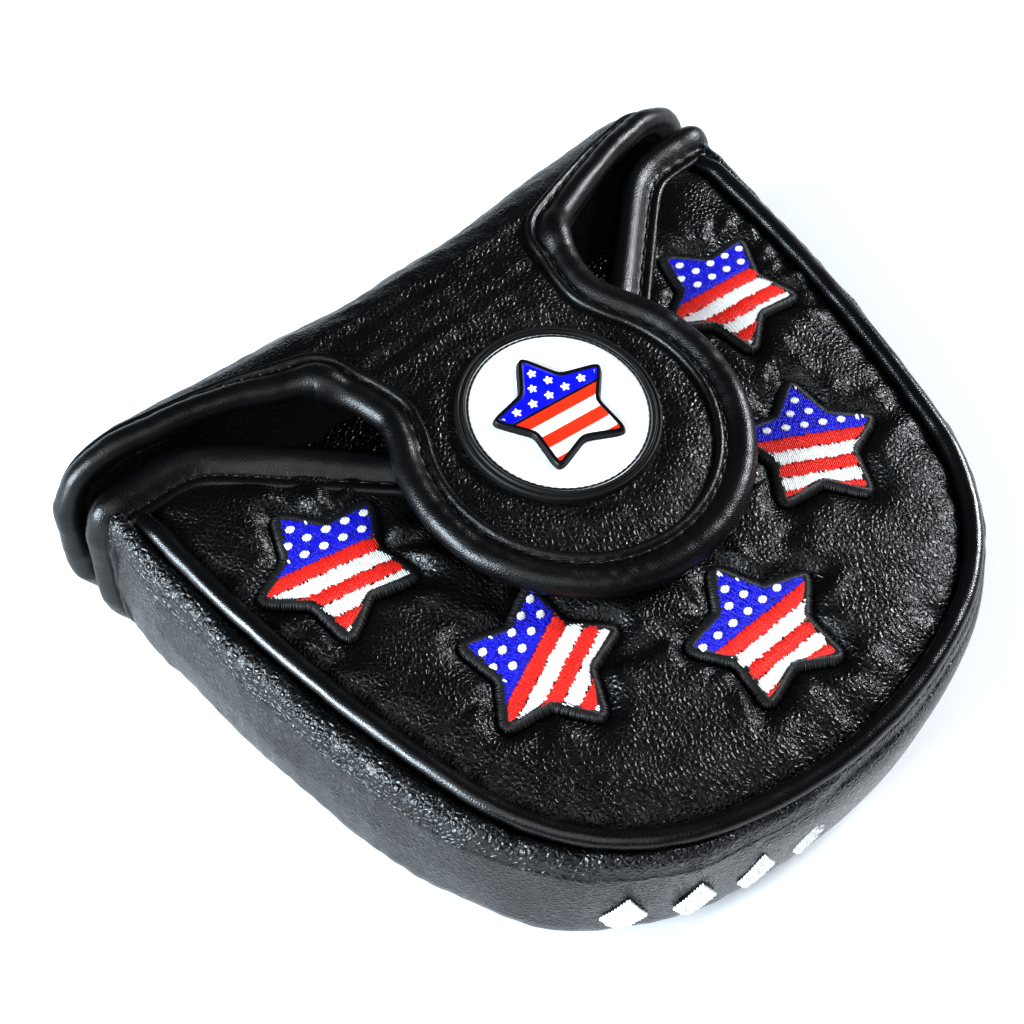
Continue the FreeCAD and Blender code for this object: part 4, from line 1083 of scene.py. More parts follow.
@dataclass
class Emblem:
    """An embroidered star on the top panel."""

    name: str
    seam: Seam
    turn: float
    lay: float
    tip: float = 12.5
    inner: float = 0.56
    floor: float = 0.35
    stripe: float = 2.3
    x: float = field(init=False)
    a: float = field(init=False)

    def __post_init__(self) -> None:
        """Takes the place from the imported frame."""
        low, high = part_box(self.name)
        middle = (low + high) / 2 / MM
        self.x = middle.x
        self.a = (middle.y - self.seam.mouth_y) / math.cos(self.seam.slope)

    def outline(self, out: float, count: int = 240) -> Array:
        """The star's outline on the seam plane.

        Args:
            out: how far it is moved outwards.
            count: number of points.

        Returns:
            Pairs of x and a, evenly spaced.
        """
        turn = np.arange(720) / 720 * 2 * HALF_TURN
        radius = star_radius(turn, self.tip, self.inner)
        line = np.stack([radius * np.cos(turn), radius * np.sin(turn)], -1)
        line = even(np.vstack([line, line[:1]]), count, True)
        ahead = unit(np.roll(line, -1, 0) - np.roll(line, 1, 0))
        line = line + out * np.stack([ahead[:, 1], -ahead[:, 0]], -1)
        return turned(line, math.radians(self.turn)) + [self.x, self.a]

    def edge_gap(self, x: Array, a: Array) -> Array:
        """Distance from the star's outline, negative inside."""
        dx, da = x - self.x, a - self.a
        radius = np.hypot(dx, da)
        limit = star_radius(np.arctan2(da, dx) - math.radians(self.turn), self.tip, self.inner)
        near = radius < self.tip + 14
        gap = np.full(np.shape(x), 14.0)
        gap[near] = gap_to(x[near], a[near], self.outline(0, 180))
        return np.where(radius < limit, -gap, gap)

    def _threads(self) -> tuple[Array, Array, Array, Array, Array]:
        """Sorts the fill into threads: bars, field and dots, each cut off at the star's outline.

        Returns:
            For each thread its place across, its lower and upper ends, its material's slot and its lift.
        """
        pick = np.random.default_rng(int(self.name[-1]) + 40)
        limit = self.tip
        split = 1.7
        columns = np.arange(-limit, limit, 0.30)
        rows: list[tuple[Array, Array, Array, int, float]] = []
        for k in range(6):
            high = split - k * self.stripe
            jag = pick.uniform(-0.28, 0.28, (2, len(columns)))
            low = high - self.stripe
            rows.append((columns, low + jag[0] - 0.12, high + jag[1] + 0.12, 2 if k % 2 == 0 else 1, 0.0))
        shift = pick.uniform(0, 2.6, len(columns))
        for k in range(6):
            low = split + (k - 1) * 2.6 + shift
            rows.append((columns, np.maximum(low, split - 0.1), low + 2.75, 0, 0.0))
        dots = [(c * 3.1 + (r % 2) * 1.55, split + 1.7 + r * 2.35) for r in range(4) for c in range(-4, 5)]
        for u, v in dots:
            off = np.arange(-2, 3) * 0.27
            tall = np.sqrt(np.maximum(0.42 - off ** 2, 0.02))
            rows.append((u + off, v - tall, v + tall, 1, 0.20))
        u = np.concatenate([r[0] for r in rows])
        low = np.concatenate([r[1] for r in rows])
        high = np.concatenate([r[2] for r in rows])
        slot = np.concatenate([np.full(len(r[0]), r[3]) for r in rows])
        lift = np.concatenate([np.full(len(r[0]), r[4]) for r in rows])
        u = u + pick.uniform(-0.03, 0.03, len(u))
        share = np.linspace(0, 1, 32)
        v = low[:, None] + (high - low)[:, None] * share
        spin = math.radians(self.lay - self.turn)
        local = turned(np.stack([np.broadcast_to(u[:, None], v.shape), v], -1), spin)
        radius = np.hypot(local[..., 0], local[..., 1])
        inside = radius < star_radius(np.arctan2(local[..., 1], local[..., 0]), self.tip, self.inner) - 0.35
        first = inside.argmax(1)
        last = len(share) - 1 - inside[:, ::-1].argmax(1)
        good = inside.any(1) & (high > low + 0.3) & (inside.sum(1) > 3)
        good &= (lift == 0) | inside.all(1)
        pick_v = np.arange(len(u))
        return u[good], v[pick_v, first][good], v[pick_v, last][good], slot[good], lift[good]

    def _height(self, x: Array, a: Array) -> Array:
        """Height of the embroidery: a low dome over the star's floor."""
        reach = np.hypot(x - self.x, a - self.a) / self.tip
        return self.floor + 0.42 + 0.42 * (1 - np.clip(reach, 0, 1) ** 2)

    def build(self) -> bpy.types.Object:
        """Builds the backing as its own object and every thread as one object.

        Returns:
            The emblem.
        """
        finishes = (Finish.BLUE, Finish.WHITE, Finish.RED, Finish.BLACK, Finish.BACKING)
        materials = [finish.material for finish in finishes]
        u, low, high, slot, lift = self._threads()
        spin = math.radians(self.lay)
        start = turned(np.stack([u, low], -1), spin) + [self.x, self.a]
        end = turned(np.stack([u, high], -1), spin) + [self.x, self.a]
        up = self.seam.world(np.zeros(1), np.zeros(1), np.ones(1)) - self.seam.world(
            np.zeros(1), np.zeros(1), np.zeros(1))
        threads = Threads(self.name + "_stars_and_bars", materials, 0.185)
        threads.lay(self.seam.world(start[:, 0], start[:, 1], self._height(*start.T) + lift),
                    self.seam.world(end[:, 0], end[:, 1], self._height(*end.T) + lift), up[0], 0.09, slot)
        count = int(round(8 * self.tip / 0.27))
        inner, outer = self.outline(-1.0, count), self.outline(0.75, count)
        pick = np.random.default_rng(int(self.name[-1]))
        outer = outer + pick.normal(0, 0.06, outer.shape)
        threads.lay(self.seam.world(inner[:, 0], inner[:, 1], self._height(*inner.T) + 0.05),
                    self.seam.world(outer[:, 0], outer[:, 1], self.floor - 0.05), up[0], 0.34, 3)
        made = threads.make()
        rings = np.linspace(0, 1, 9)[:, None]
        rim = self.outline(0.45, 200)
        grid = np.array([self.x, self.a]) + (rim - [self.x, self.a])[None] * rings[..., None]
        high_side = self._height(grid[..., 0], grid[..., 1]) - 0.16
        high_side[-1] = self.floor - 0.1
        top = self.seam.world(grid[..., 0], grid[..., 1], high_side)
        bottom = self.seam.world(grid[..., 0], grid[..., 1], np.full(grid.shape[:2], self.floor - 0.5))
        bottom[-1] = top[-1]
        backing = lens_object(self.name + "_backing", top, bottom, [Finish.BACKING.material])
        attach(made, "pouch")
        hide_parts(self.name)
        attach(backing, "pouch")
        return made


# ---------------------------------------------------------------- pouch


@dataclass
class Pouch:
    """The D-shaped pouch: panel, band, piping, mouth binding, bottom and lining."""

    seam: Seam
    mouth: MouthSheet
    emblems: list[Emblem]
    centre: tuple[float, float] = (0.0, -52.0)

    BINDING = ((7.4, -0.6), (7.6, 0.35), (7.15, 0.98), (6.4, 1.0), (5.85, 0.62), (5.2, 0.9), (3.7, 1.95),
               (2.1, 2.3), (0.6, 1.5), (-0.15, 0.0), (0.3, -2.0), (2.0, -3.2), (4.5, -3.5), (6.6, -2.9),
               (7.3, -1.8))
    BAND = ((0.9, 1, -1.5), (1.35, 1, -0.1), (2.5, 1, 0.7), (3.9, 1, 0.0), (4.8, 1, -2.4), (5.3, 0.80, 0),
            (5.6, 0.58, 0), (5.3, 0.36, 0), (4.2, 0.19, 0), (1.8, 0.07, 0), (-1.8, 0.012, 0), (-5.6, 0, 0.02),
            (-5.4, 0, 1.0), (0.5, 0.09, 1.0), (3.4, 0.36, 0), (3.7, 0.6, 0), (3.0, 1, -3.2), (1.6, 1, -1.9))

    def _panel_rim(self) -> Array:
        """The panel's edge: the outline inside the piping, closed along the mouth's binding."""
        inner = self.mouth.edge - 4.8 * left_normals(self.mouth.edge)
        inner = inner[np.abs(inner[:, 0]) < 56.2]
        rest = self.seam.outline(np.linspace(0, 1, 900), -0.8)
        rest = rest[rest[:, 1] < inner[0, 1] - 0.6]
        loop = np.vstack([rest, inner[::-1]])
        return even(np.vstack([loop, loop[:1]]), 520, True)

    def panel_height(self, x: Array, a: Array) -> Array:
        """Height of the top panel's leather above the seam.

        Args:
            x: places across.
            a: places ahead of the mouth line.

        Returns:
            Heights in millimetres.
        """
        rim = gap_to(x, a, self.seam.outline(np.linspace(0, 1, 700), -0.6))
        lip = gap_to(x, a, (self.mouth.edge - 6.2 * left_normals(self.mouth.edge))[::2])
        swell = 1 - np.exp(-rim / 3.0)
        puff = -0.55 + 2.5 * swell
        puff = puff - 1.3 * np.exp(-((lip / 3.2) ** 2))
        puff = puff + 0.15 * Ripple(3, 17.0)(x, a) * swell + 0.05 * Ripple(5, 6.5)(x, a) * swell
        around = np.arctan2(a + 40, x)
        puff = puff + 0.16 * np.exp(-(((rim - 2.6) / 2.4) ** 2)) * Ripple(11, 5.2)(around * 52)
        covered = smooth_step(33, 27, np.abs(x)) * smooth_step(-70, -62, a)
        puff = puff * (1 - 0.22 * covered)
        stars = [(e.x, e.a) for e in self.emblems]
        for (xa, aa), (xb, ab) in zip(stars, stars[1:]):
            way = np.array([xb - xa, ab - aa])
            span = np.linalg.norm(way)
            along = ((x - xa) * way[0] + (a - aa) * way[1]) / span
            off = ((x - xa) * -way[1] + (a - aa) * way[0]) / span + 0.8 * np.sin(along / 3.1 + xa)
            hold = smooth_step(0, 6, along) * smooth_step(span, span - 6, along)
            puff = puff - 0.75 * hold * np.exp(-((off / 1.7) ** 2))
        for k, emblem in enumerate(self.emblems):
            gap = emblem.edge_gap(x, a)
            turn = np.arctan2(a - emblem.a, x - emblem.x)
            wave = Ripple(60 + k, 1.0, 7)(turn * 2.3)
            pull = 0.34 * wave * np.exp(-(((gap - 2.9) / 2.1) ** 2))
            sink = np.where(gap > 0, np.exp(-((gap / 2.2) ** 2)), 1.0)
            puff = (puff + pull) * (1 - sink) + (emblem.floor - 0.55) * sink
        return puff

    def panel(self) -> bpy.types.Object:
        """Builds the padded top panel.

        Returns:
            The panel, quilted down round the emblems.
        """
        rim = self._panel_rim()
        share = np.concatenate([np.linspace(0, 0.9, 66), np.linspace(0.9, 1, 22)[1:]])
        middle = np.array(self.centre)
        grid = middle + (rim - middle)[None] * share[:, None, None]
        high = self.panel_height(grid[..., 0], grid[..., 1])
        high[-1] = -0.9
        top = self.seam.world(grid[..., 0], grid[..., 1], high)
        low = np.full(grid.shape[:2], -2.9)
        coarse = np.linspace(0, len(share) - 1, 12).astype(int)
        bottom = self.seam.world(grid[..., 0], grid[..., 1], low)[coarse]
        bottom[-1] = top[-1]
        made = lens_object("top_leather", top, bottom, [Finish.PANEL.material])
        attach(made, "pouch")
        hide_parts("top_panel", "top_foam")
        return made

    @staticmethod
    def stretch(share: Array) -> Array:
        """How far the band puffs out along the outline, as a share of its profile."""
        marks = (0.0, 0.05, 0.22, 0.36, 0.5, 0.64, 0.8, 0.95, 1.0)
        return np.interp(share, marks, (1.0, 1.1, 1.3, 0.85, 0.48, 0.55, 0.65, 0.8, 0.9))

    TALL = 34

    def band_profile(self) -> Array:
        """The band's closed cross-section: outwards, share of the seam's height and millimetres more."""
        return through(self.BAND, 76, closed=True)

    def band(self) -> bpy.types.Object:
        """Builds the padded side band.

        Returns:
            The band, with a puffed ridge outside the piping.
        """
        shape = self.band_profile()
        first = 1.0 / self.seam.along[-1]
        share = np.linspace(first, 1 - first, 620)
        out, part, more = (np.broadcast_to(shape[:, k], (len(share), len(shape))) for k in range(3))
        run = (share * self.seam.along[-1])[:, None]
        outer = smooth_step(0.5, 2.5, out) * (np.arange(len(shape)) < len(shape) * 0.62)
        tall = part * self.TALL + more
        out = out + outer * (0.15 * Ripple(21, 17)(run, tall) + 0.05 * Ripple(22, 5.5)(run * 1.3, tall * 0.6))
        ridge = bump_at(tall, self.TALL, 3.0) * outer
        more = more + ridge * (0.16 * Ripple(23, 5.0)(run + 0 * tall) + 0.18 * Ripple(24, 19)(run + 0 * tall))
        out = out * np.where(outer > 0, self.stretch(share)[:, None], 1)
        place = self.seam.outline(np.broadcast_to(share[:, None], out.shape), out)
        z = part * self.seam.top_at(place[..., 1]) + more
        y = self.seam.mouth_y + place[..., 1] * math.cos(self.seam.slope)
        sections = np.stack([place[..., 0], y, np.maximum(z, 0.02)], -1) * MM
        made = tube_object("band_leather", sections, [Finish.FLANK.material])
        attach(made, "pouch")
        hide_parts("side_band", "side_band_foam")
        return made

    def _round_tube(self, name: str, radius: float, sides: int, finish: Finish,
                    uneven: float) -> bpy.types.Object:
        """A tube along the seam that dips at both ends, under the mouth's binding.

        Args:
            name: name of the object.
            radius: radius of the tube.
            sides: points round it.
            finish: its finish.
            uneven: how much its radius varies, as a share.

        Returns:
            The tube.
        """
        share = np.linspace(0.004, 0.996, 700)
        from_end = np.minimum(share, 1 - share) * self.seam.along[-1]
        place = self.seam.outline(share, 0.1)
        ahead = unit(np.gradient(place, axis=0))
        normal = np.stack([-ahead[:, 1], ahead[:, 0]], -1)
        height = 0.95 - 2.0 * smooth_step(9, 2, from_end)
        turn = np.arange(sides) / sides * 2 * HALF_TURN
        run = from_end[:, None] + 400 * (share[:, None] > 0.5)
        size = radius * (1 + uneven * Ripple(31, 6)(run, 4 * np.cos(turn)[None]))
        across = place[:, None] + normal[:, None] * (size * np.cos(turn))[..., None]
        sections = self.seam.world(across[..., 0], across[..., 1], height[:, None] + size * np.sin(turn))
        made = tube_object(name, sections, [finish.material])
        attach(made, "pouch")
        return made

    def piping(self) -> None:
        """Builds the piping and the cord in it."""
        cover = self._round_tube("piping_tube", 1.55, 20, Finish.PIPING, 0.012)
        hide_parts("top_piping")
        core = self._round_tube("piping_cord", 0.85, 10, Finish.CORD, 0.02)
        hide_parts("top_piping_cord")

    def binding(self) -> bpy.types.Object:
        """Builds the rolled binding of the mouth.

        Returns:
            The binding, from the bottom up one flank, over the scooped top and down the other.
        """
        edge = even(soften(self.mouth.edge, 2), 640)
        shape = through(self.BINDING, 48, closed=True)
        inward = -left_normals(edge)
        run = length_along(edge)[:, None]
        w = np.broadcast_to(shape[:, 0], (len(edge), len(shape)))
        roll = bump_at(w, 2.4, 2.6) * (shape[:, 1] > 0)
        h = shape[:, 1] + roll * (0.13 * Ripple(41, 12)(run + 0 * w) + 0.02 * Ripple(42, 3.6)(run + 0 * w))
        dimple = bump_at(w, 5.65, 0.55) * (shape[:, 1] > 0)
        h = h - 0.14 * dimple * (0.5 + 0.5 * np.cos(run / 3.1 * 2 * HALF_TURN))
        flank = smooth_step(self.mouth.marks[0] - 3, self.mouth.marks[1] + 3, np.abs(edge[:, 0]))[:, None]
        shoulder = smooth_step(4, 0, np.abs(np.abs(edge[:, :1]) - 60))
        h = h + 0.9 * shoulder * (shape[:, 1] > 0) * bump_at(w, 2, 5)
        w = w - 0.5 * flank * (w > 5)
        flat = edge[:, None] + inward[:, None] * w[..., None]
        sections = self.mouth.world(flat[..., 0], flat[..., 1], h)
        sections[..., 2] = np.maximum(sections[..., 2], 0.05 * MM)
        made = tube_object("mouth_roll", sections, [Finish.BINDING.material])
        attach(made, "pouch")
        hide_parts("mouth_binding")
        return made

    def stitches(self) -> bpy.types.Object:
        """Builds the sewing in the mouth binding's groove."""
        line = self.mouth.edge - 5.68 * left_normals(self.mouth.edge)
        made = running_stitches("mouth_sewing", self.mouth.world, line, 3.1, 0.7, 0.25, 0.56)
        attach(made, "pouch")
        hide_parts("mouth_stitching")
        return made

    def _plate(self, inset: float, front: float, low: Callable, high: Callable) -> tuple[Array, Array]:
        """Two polar grids of a flat D, one above the other.

        Args:
            inset: how far inside the outline it ends.
            front: how far ahead of the mouth line it reaches.
            low: height of its underside above the ground.
            high: height of its top.

        Returns:
            Points of the top and of the underside.
        """
        rest = self.seam.outline(np.linspace(0, 1, 500), -inset)
        corner = np.array([(rest[-1, 0], front), (rest[0, 0], front)])
        loop = np.vstack([rest, corner, rest[:1]])
        loop = even(soften(loop, 3), 260, True)
        middle = np.array([0.0, -48.0])
        grid = middle + (loop - middle)[None] * np.linspace(0, 1, 26)[:, None, None]
        x, a = grid[..., 0], grid[..., 1]
        y = self.seam.mouth_y + a * math.cos(self.seam.slope)
        top = np.stack([x, y, high(x, a)], -1) * MM
        bottom = np.stack([x, y, low(x, a)], -1) * MM
        bottom[-1] = top[-1]
        return top, bottom

    def bottom(self) -> bpy.types.Object:
        """Builds the padded bottom panel.

        Returns:
            The bottom panel, slightly uneven, on the ground.
        """
        sag = Ripple(51, 24)
        top, under = self._plate(5.2, 9.0, lambda x, a: 0.12 + 0.10 * (1 + np.clip(sag(x, a), -1, 1)),
                                 lambda x, a: 3.0 + 0 * x)
        top[-1, :, 2] = 1.2 * MM
        under[-1] = top[-1]
        made = lens_object("bottom_leather", top, under, [Finish.FLANK.material])
        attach(made, "pouch")
        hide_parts("bottom_panel", "bottom_foam")
        return made

    def lining(self) -> None:
        """Builds the plush lining of the top, bottom and band."""
        nap = Ripple(55, 7)
        floor_top, floor_under = self._plate(3.2, -3.0, lambda x, a: 3.1 + 0 * x,
                                             lambda x, a: 4.9 + 0.15 * nap(x, a))
        floor = lens_object("bottom_plush", floor_top, floor_under, [Finish.PLUSH.material])
        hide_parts("bottom_lining")
        rim = self._panel_rim()
        middle = np.array(self.centre)
        grid = middle + (rim - middle)[None] * np.linspace(0, 0.985, 30)[:, None, None]
        top = self.seam.world(grid[..., 0], grid[..., 1], np.full(grid.shape[:2], -3.0))
        under = self.seam.world(grid[..., 0], grid[..., 1], -4.7 + 0.15 * nap(grid[..., 0], grid[..., 1]))
        under[-1] = top[-1]
        roof = lens_object("top_plush", top, under, [Finish.PLUSH.material])
        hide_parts("top_lining")
        shape = through([(-1.0, 0.86), (1.6, 0.72), (2.6, 0.55), (2.2, 0.36), (0.6, 0.22), (-3.0, 0.14),
                         (-3.0, 0.17), (-0.6, 0.25), (0.7, 0.37), (1.0, 0.55), (0.2, 0.70), (-1.8, 0.82)],
                        48, closed=True)
        share = np.linspace(0.012, 0.988, 260)
        out, part = (np.broadcast_to(shape[:, k], (len(share), len(shape))) for k in range(2))
        place = self.seam.outline(np.broadcast_to(share[:, None], out.shape), out)
        z = part * self.seam.top_at(place[..., 1])
        y = self.seam.mouth_y + place[..., 1] * math.cos(self.seam.slope)
        wall = tube_object("band_plush", np.stack([place[..., 0], y, z], -1) * MM, [Finish.PLUSH.material])
        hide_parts("side_band_lining")
        for made in (floor, roof, wall):
            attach(made, "pouch")

    def diamonds(self) -> bpy.types.Object:
        """Builds the row of embroidered diamonds on the back of the band.

        Returns:
            The diamonds.
        """
        low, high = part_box("band_embroidery")
        middle = (low.z + high.z) / 2 / MM
        pitch, half, tall = 9.4, 3.2, 7.0
        threads = Threads("band_diamonds", [Finish.WHITE.material], 0.2)
        whole = self.seam.along[-1]
        heights = np.array([0.19, 0.36, 0.58, 0.80, 0.93])
        outs = np.array([4.2, 5.3, 5.6, 5.3, 4.8])
        pick = np.random.default_rng(77)
        for k in range(-4, 5):
            across = np.arange(-half, half + 0.01, 0.30)
            reach = tall * (1 - np.abs(across) / half)
            shift = pick.uniform(0, 3.2, len(across))
            for piece in range(-4, 4):
                start = np.clip(piece * 3.2 + shift, -reach, reach)
                end = np.clip((piece + 1) * 3.2 + shift + 0.2, -reach, reach)
                good = end - start > 0.5
                share = 0.5 + (k * pitch + across[good]) / whole
                ends = []
                for offset in (start[good], end[good]):
                    z = middle + offset
                    a = self.seam.outline(share)[:, 1]
                    out = np.interp(z / self.seam.top_at(a), heights, outs) * self.stretch(share) + 0.28
                    spot = self.seam.outline(share, out)
                    y = self.seam.mouth_y + spot[:, 1] * math.cos(self.seam.slope)
                    ends.append(np.stack([spot[:, 0], y, z], -1) * MM)
                flat = self.seam.outline(share, 1.0) - self.seam.outline(share)
                out_way = np.hstack([flat, np.zeros((len(flat), 1))])
                threads.lay(ends[0], ends[1], out_way, 0.12)
        made = threads.make()
        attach(made, "pouch")
        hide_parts("band_embroidery")
        return made

    def build(self) -> None:
        """Builds every piece of the pouch."""
        self.panel()
        self.band()
        self.piping()
        self.binding()
        self.stitches()
        self.bottom()
        self.lining()
        self.diamonds()
        for emblem in self.emblems:
            emblem.build()


# ---------------------------------------------------------------- flap and tongue


@dataclass
class Wrap:
    """The flap, which folds up over the mouth, and the tongue it ends in."""

    seam: Seam
    sheet: WrapSheet

    BINDING = ((6.3, -0.6), (6.45, 0.2), (6.0, 0.85), (5.3, 0.8), (4.8, 0.2), (4.2, 0.5), (3.1, 1.35),
               (1.8, 1.5), (0.6, 0.9), (-0.1, -0.5), (0.2, -1.9), (1.5, -2.9), (3.5, -3.1), (5.6, -2.7),
               (6.3, -1.8))
    FOLD = ((2.0, 0.15), (9.0, 0.1), (12.5, 0.2), (14.0, 1.2), (14.1, 2.6), (13.2, 3.0), (12.4, 2.2),
            (11.0, 1.5), (8.0, 1.35), (2.0, 1.35))

    def _bend(self, made: bpy.types.Object) -> None:
        """Bakes a piece's placement into its mesh."""
        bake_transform(made)

    def _half_width(self, depth: float) -> tuple[Array, Array]:
        """Heights S up the sheet and the inset edge's distance from the middle there."""
        line = self.sheet.inset(depth)
        side = line[:len(line) // 2 + 1]
        side = side[side[:, 0] > 0]
        order = np.maximum.accumulate(side[:, 1])
        good = np.concatenate([[True], np.diff(order) > 1e-6])
        return order[good], side[good, 0]

    def _rows(self, depth: float, rows: int) -> tuple[Array, Array]:
        """Spreads rows over the sheet, closer together at the tongue's tip.

        Args:
            depth: how far inside the edge the rows end.
            rows: how many.

        Returns:
            Each row's height S and half width.
        """
        up, wide = self._half_width(depth)
        low, high = 0.7, up[-1]
        share = np.linspace(0, 1, rows)
        share = np.where(share < 0.8, share, 0.8 + 0.2 * np.sin((share - 0.8) / 0.2 * QUARTER))
        s = low + (high - low) * share
        return s, np.interp(s, up, wide)

    def leather_height(self, x: Array, s: Array) -> Array:
        """Height of the leather out of the sheet.

        Args:
            x: places across.
            s: places up the sheet.

        Returns:
            Heights in millimetres.
        """
        rim = gap_to(x, s, self.sheet.inset(5.9)[::2])
        front = smooth_step(50, 40, s)
        swell = 1 - np.exp(-rim / 4.0)
        h = -0.35 + swell * (0.75 + 0.5 * front)
        badge = np.hypot(x, s - 79.0)
        h = h - 0.45 * np.exp(-(((badge - 16.2) / 2.0) ** 2)) * (1 - front)
        fold = bump_at(s, 50.5, 5.0) * smooth_step(26, 12, np.abs(x))
        h = h - 0.35 * fold + 0.18 * Ripple(71, 9)(x * 0.35, s * 1.6) * bump_at(s, 55, 9)
        h = h + swell * (0.16 * Ripple(72, 16)(x, s) + 0.07 * Ripple(73, 5)(x, s))
        covered = smooth_step(15.9, 14.4, badge)
        return h * (1 - covered) - 0.1 * covered

    def leather(self) -> bpy.types.Object:
        """Builds the padded leather of flap and tongue.

        Returns:
            The leather.
        """
        s, wide = self._rows(5.2, 230)
        u = np.linspace(-1, 1, 170)
        u = np.sign(u) * (1 - (1 - np.abs(u)) ** 1.25)
        x, up = wide[:, None] * u, np.broadcast_to(s[:, None], (len(s), len(u)))
        h = self.leather_height(x, up)
        h[:, [0, -1]] = -0.9
        h[[0, -1]] = -0.9
        thin = np.linspace(1, -1, 24)
        low_x, low_up = wide[:, None] * thin, np.broadcast_to(s[:, None], (len(s), len(thin)))
        sections = np.concatenate([self.sheet.world(x, up, h), self.sheet.world(low_x, low_up, -2.2)], 1)
        made = tube_object("wrap_leather", sections, [Finish.WRAP.material])
        self._bend(made)
        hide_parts("flap_panel", "flap_foam", "tongue_panel", "tongue_foam")
        return made

    def lining(self) -> bpy.types.Object:
        """Builds the plush behind the leather.

        Returns:
            The lining of flap and tongue.
        """
        s, wide = self._rows(3.4, 130)
        u = np.linspace(-1, 1, 60)
        x, up = wide[:, None] * u, np.broadcast_to(s[:, None], (len(s), len(u)))
        deep = np.where(up > self.sheet.turned, 3.05, 4.0) + 0 * x
        nap = 0.08 * Ripple(81, 6)(x, up)
        front, back = self.sheet.world(x, up, -2.3), self.sheet.world(x, up, -deep + nap)
        sections = np.concatenate([front, back[:, ::-1]], 1)
        made = tube_object("wrap_plush", sections, [Finish.PLUSH.material])
        self._bend(made)
        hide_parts("flap_lining", "tongue_lining")
        return made

    def binding(self) -> bpy.types.Object:
        """Builds the rolled binding round flap and tongue.

        Returns:
            The binding, with a pinched ear where the flap turns into the tongue.
        """
        edge, run = self.sheet.edge, self.sheet.length[:, None]
        shape = through(self.BINDING, 44, closed=True)
        inward = left_normals(edge)
        w = np.broadcast_to(shape[:, 0], (len(edge), len(shape)))
        upper = shape[:, 1] > 0
        corner = np.where(edge[:, :1] < 0, 25.4, 24.0)
        ear = np.exp(-((np.hypot(np.abs(edge[:, :1]) - corner, edge[:, 1:] - 53.8) / 2.6) ** 2))
        roll = bump_at(w, 2.2, 2.4) * upper
        h = shape[:, 1] + roll * (0.10 * Ripple(91, 11)(run + 0 * w) + 0.02 * Ripple(92, 3.4)(run + 0 * w))
        h = h - 0.14 * bump_at(w, 4.8, 0.5) * upper * (0.5 + 0.5 * np.cos(run / 2.9 * 2 * HALF_TURN))
        h = h + ear * roll * 1.2
        w = w - ear * 1.3 * bump_at(shape[:, 0], 0.6, 2.2)
        flat = edge[:, None] + inward[:, None] * w[..., None]
        sections = self.sheet.world(flat[..., 0], flat[..., 1], h)
        made = tube_object("wrap_roll", sections, [Finish.BINDING.material])
        self._bend(made)
        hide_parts("flap_binding_left", "flap_binding_right", "tongue_binding")
        return made

    def stitches(self) -> bpy.types.Object:
        """Builds the sewing in the binding's groove.

        Returns:
            The stitches of flap and tongue.
        """
        line = self.sheet.inset(4.78)
        made = running_stitches("wrap_sewing", self.sheet.world, line, 2.9, 0.65, 0.25, 0.12)
        self._bend(made)
        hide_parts("flap_stitching", "tongue_stitching")
        return made

    def fold(self) -> bpy.types.Object:
        """Builds the strip of leather between the bottom and the flap's foot.

        Returns:
            The strip.
        """
        x = np.linspace(-56.0, 56.0, 130)
        shape = through(self.FOLD, 44, closed=True)
        y = self.seam.mouth_y + shape[:, 0]
        ripple = 0.12 * Ripple(95, 13)(x[:, None], shape[None, :, 0] * 3)
        grid = np.broadcast_to(x[:, None], (len(x), len(shape)))
        z = np.maximum(shape[:, 1] + ripple, 0.03)
        made = tube_object("fold_leather", np.stack([grid, np.broadcast_to(y, grid.shape), z], -1) * MM,
                           [Finish.FLANK.material])
        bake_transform(made)
        return made

    def build(self) -> None:
        """Builds every piece of the flap and tongue."""
        self.leather()
        self.lining()
        self.binding()
        self.stitches()
        self.fold()


# ---------------------------------------------------------------- badge


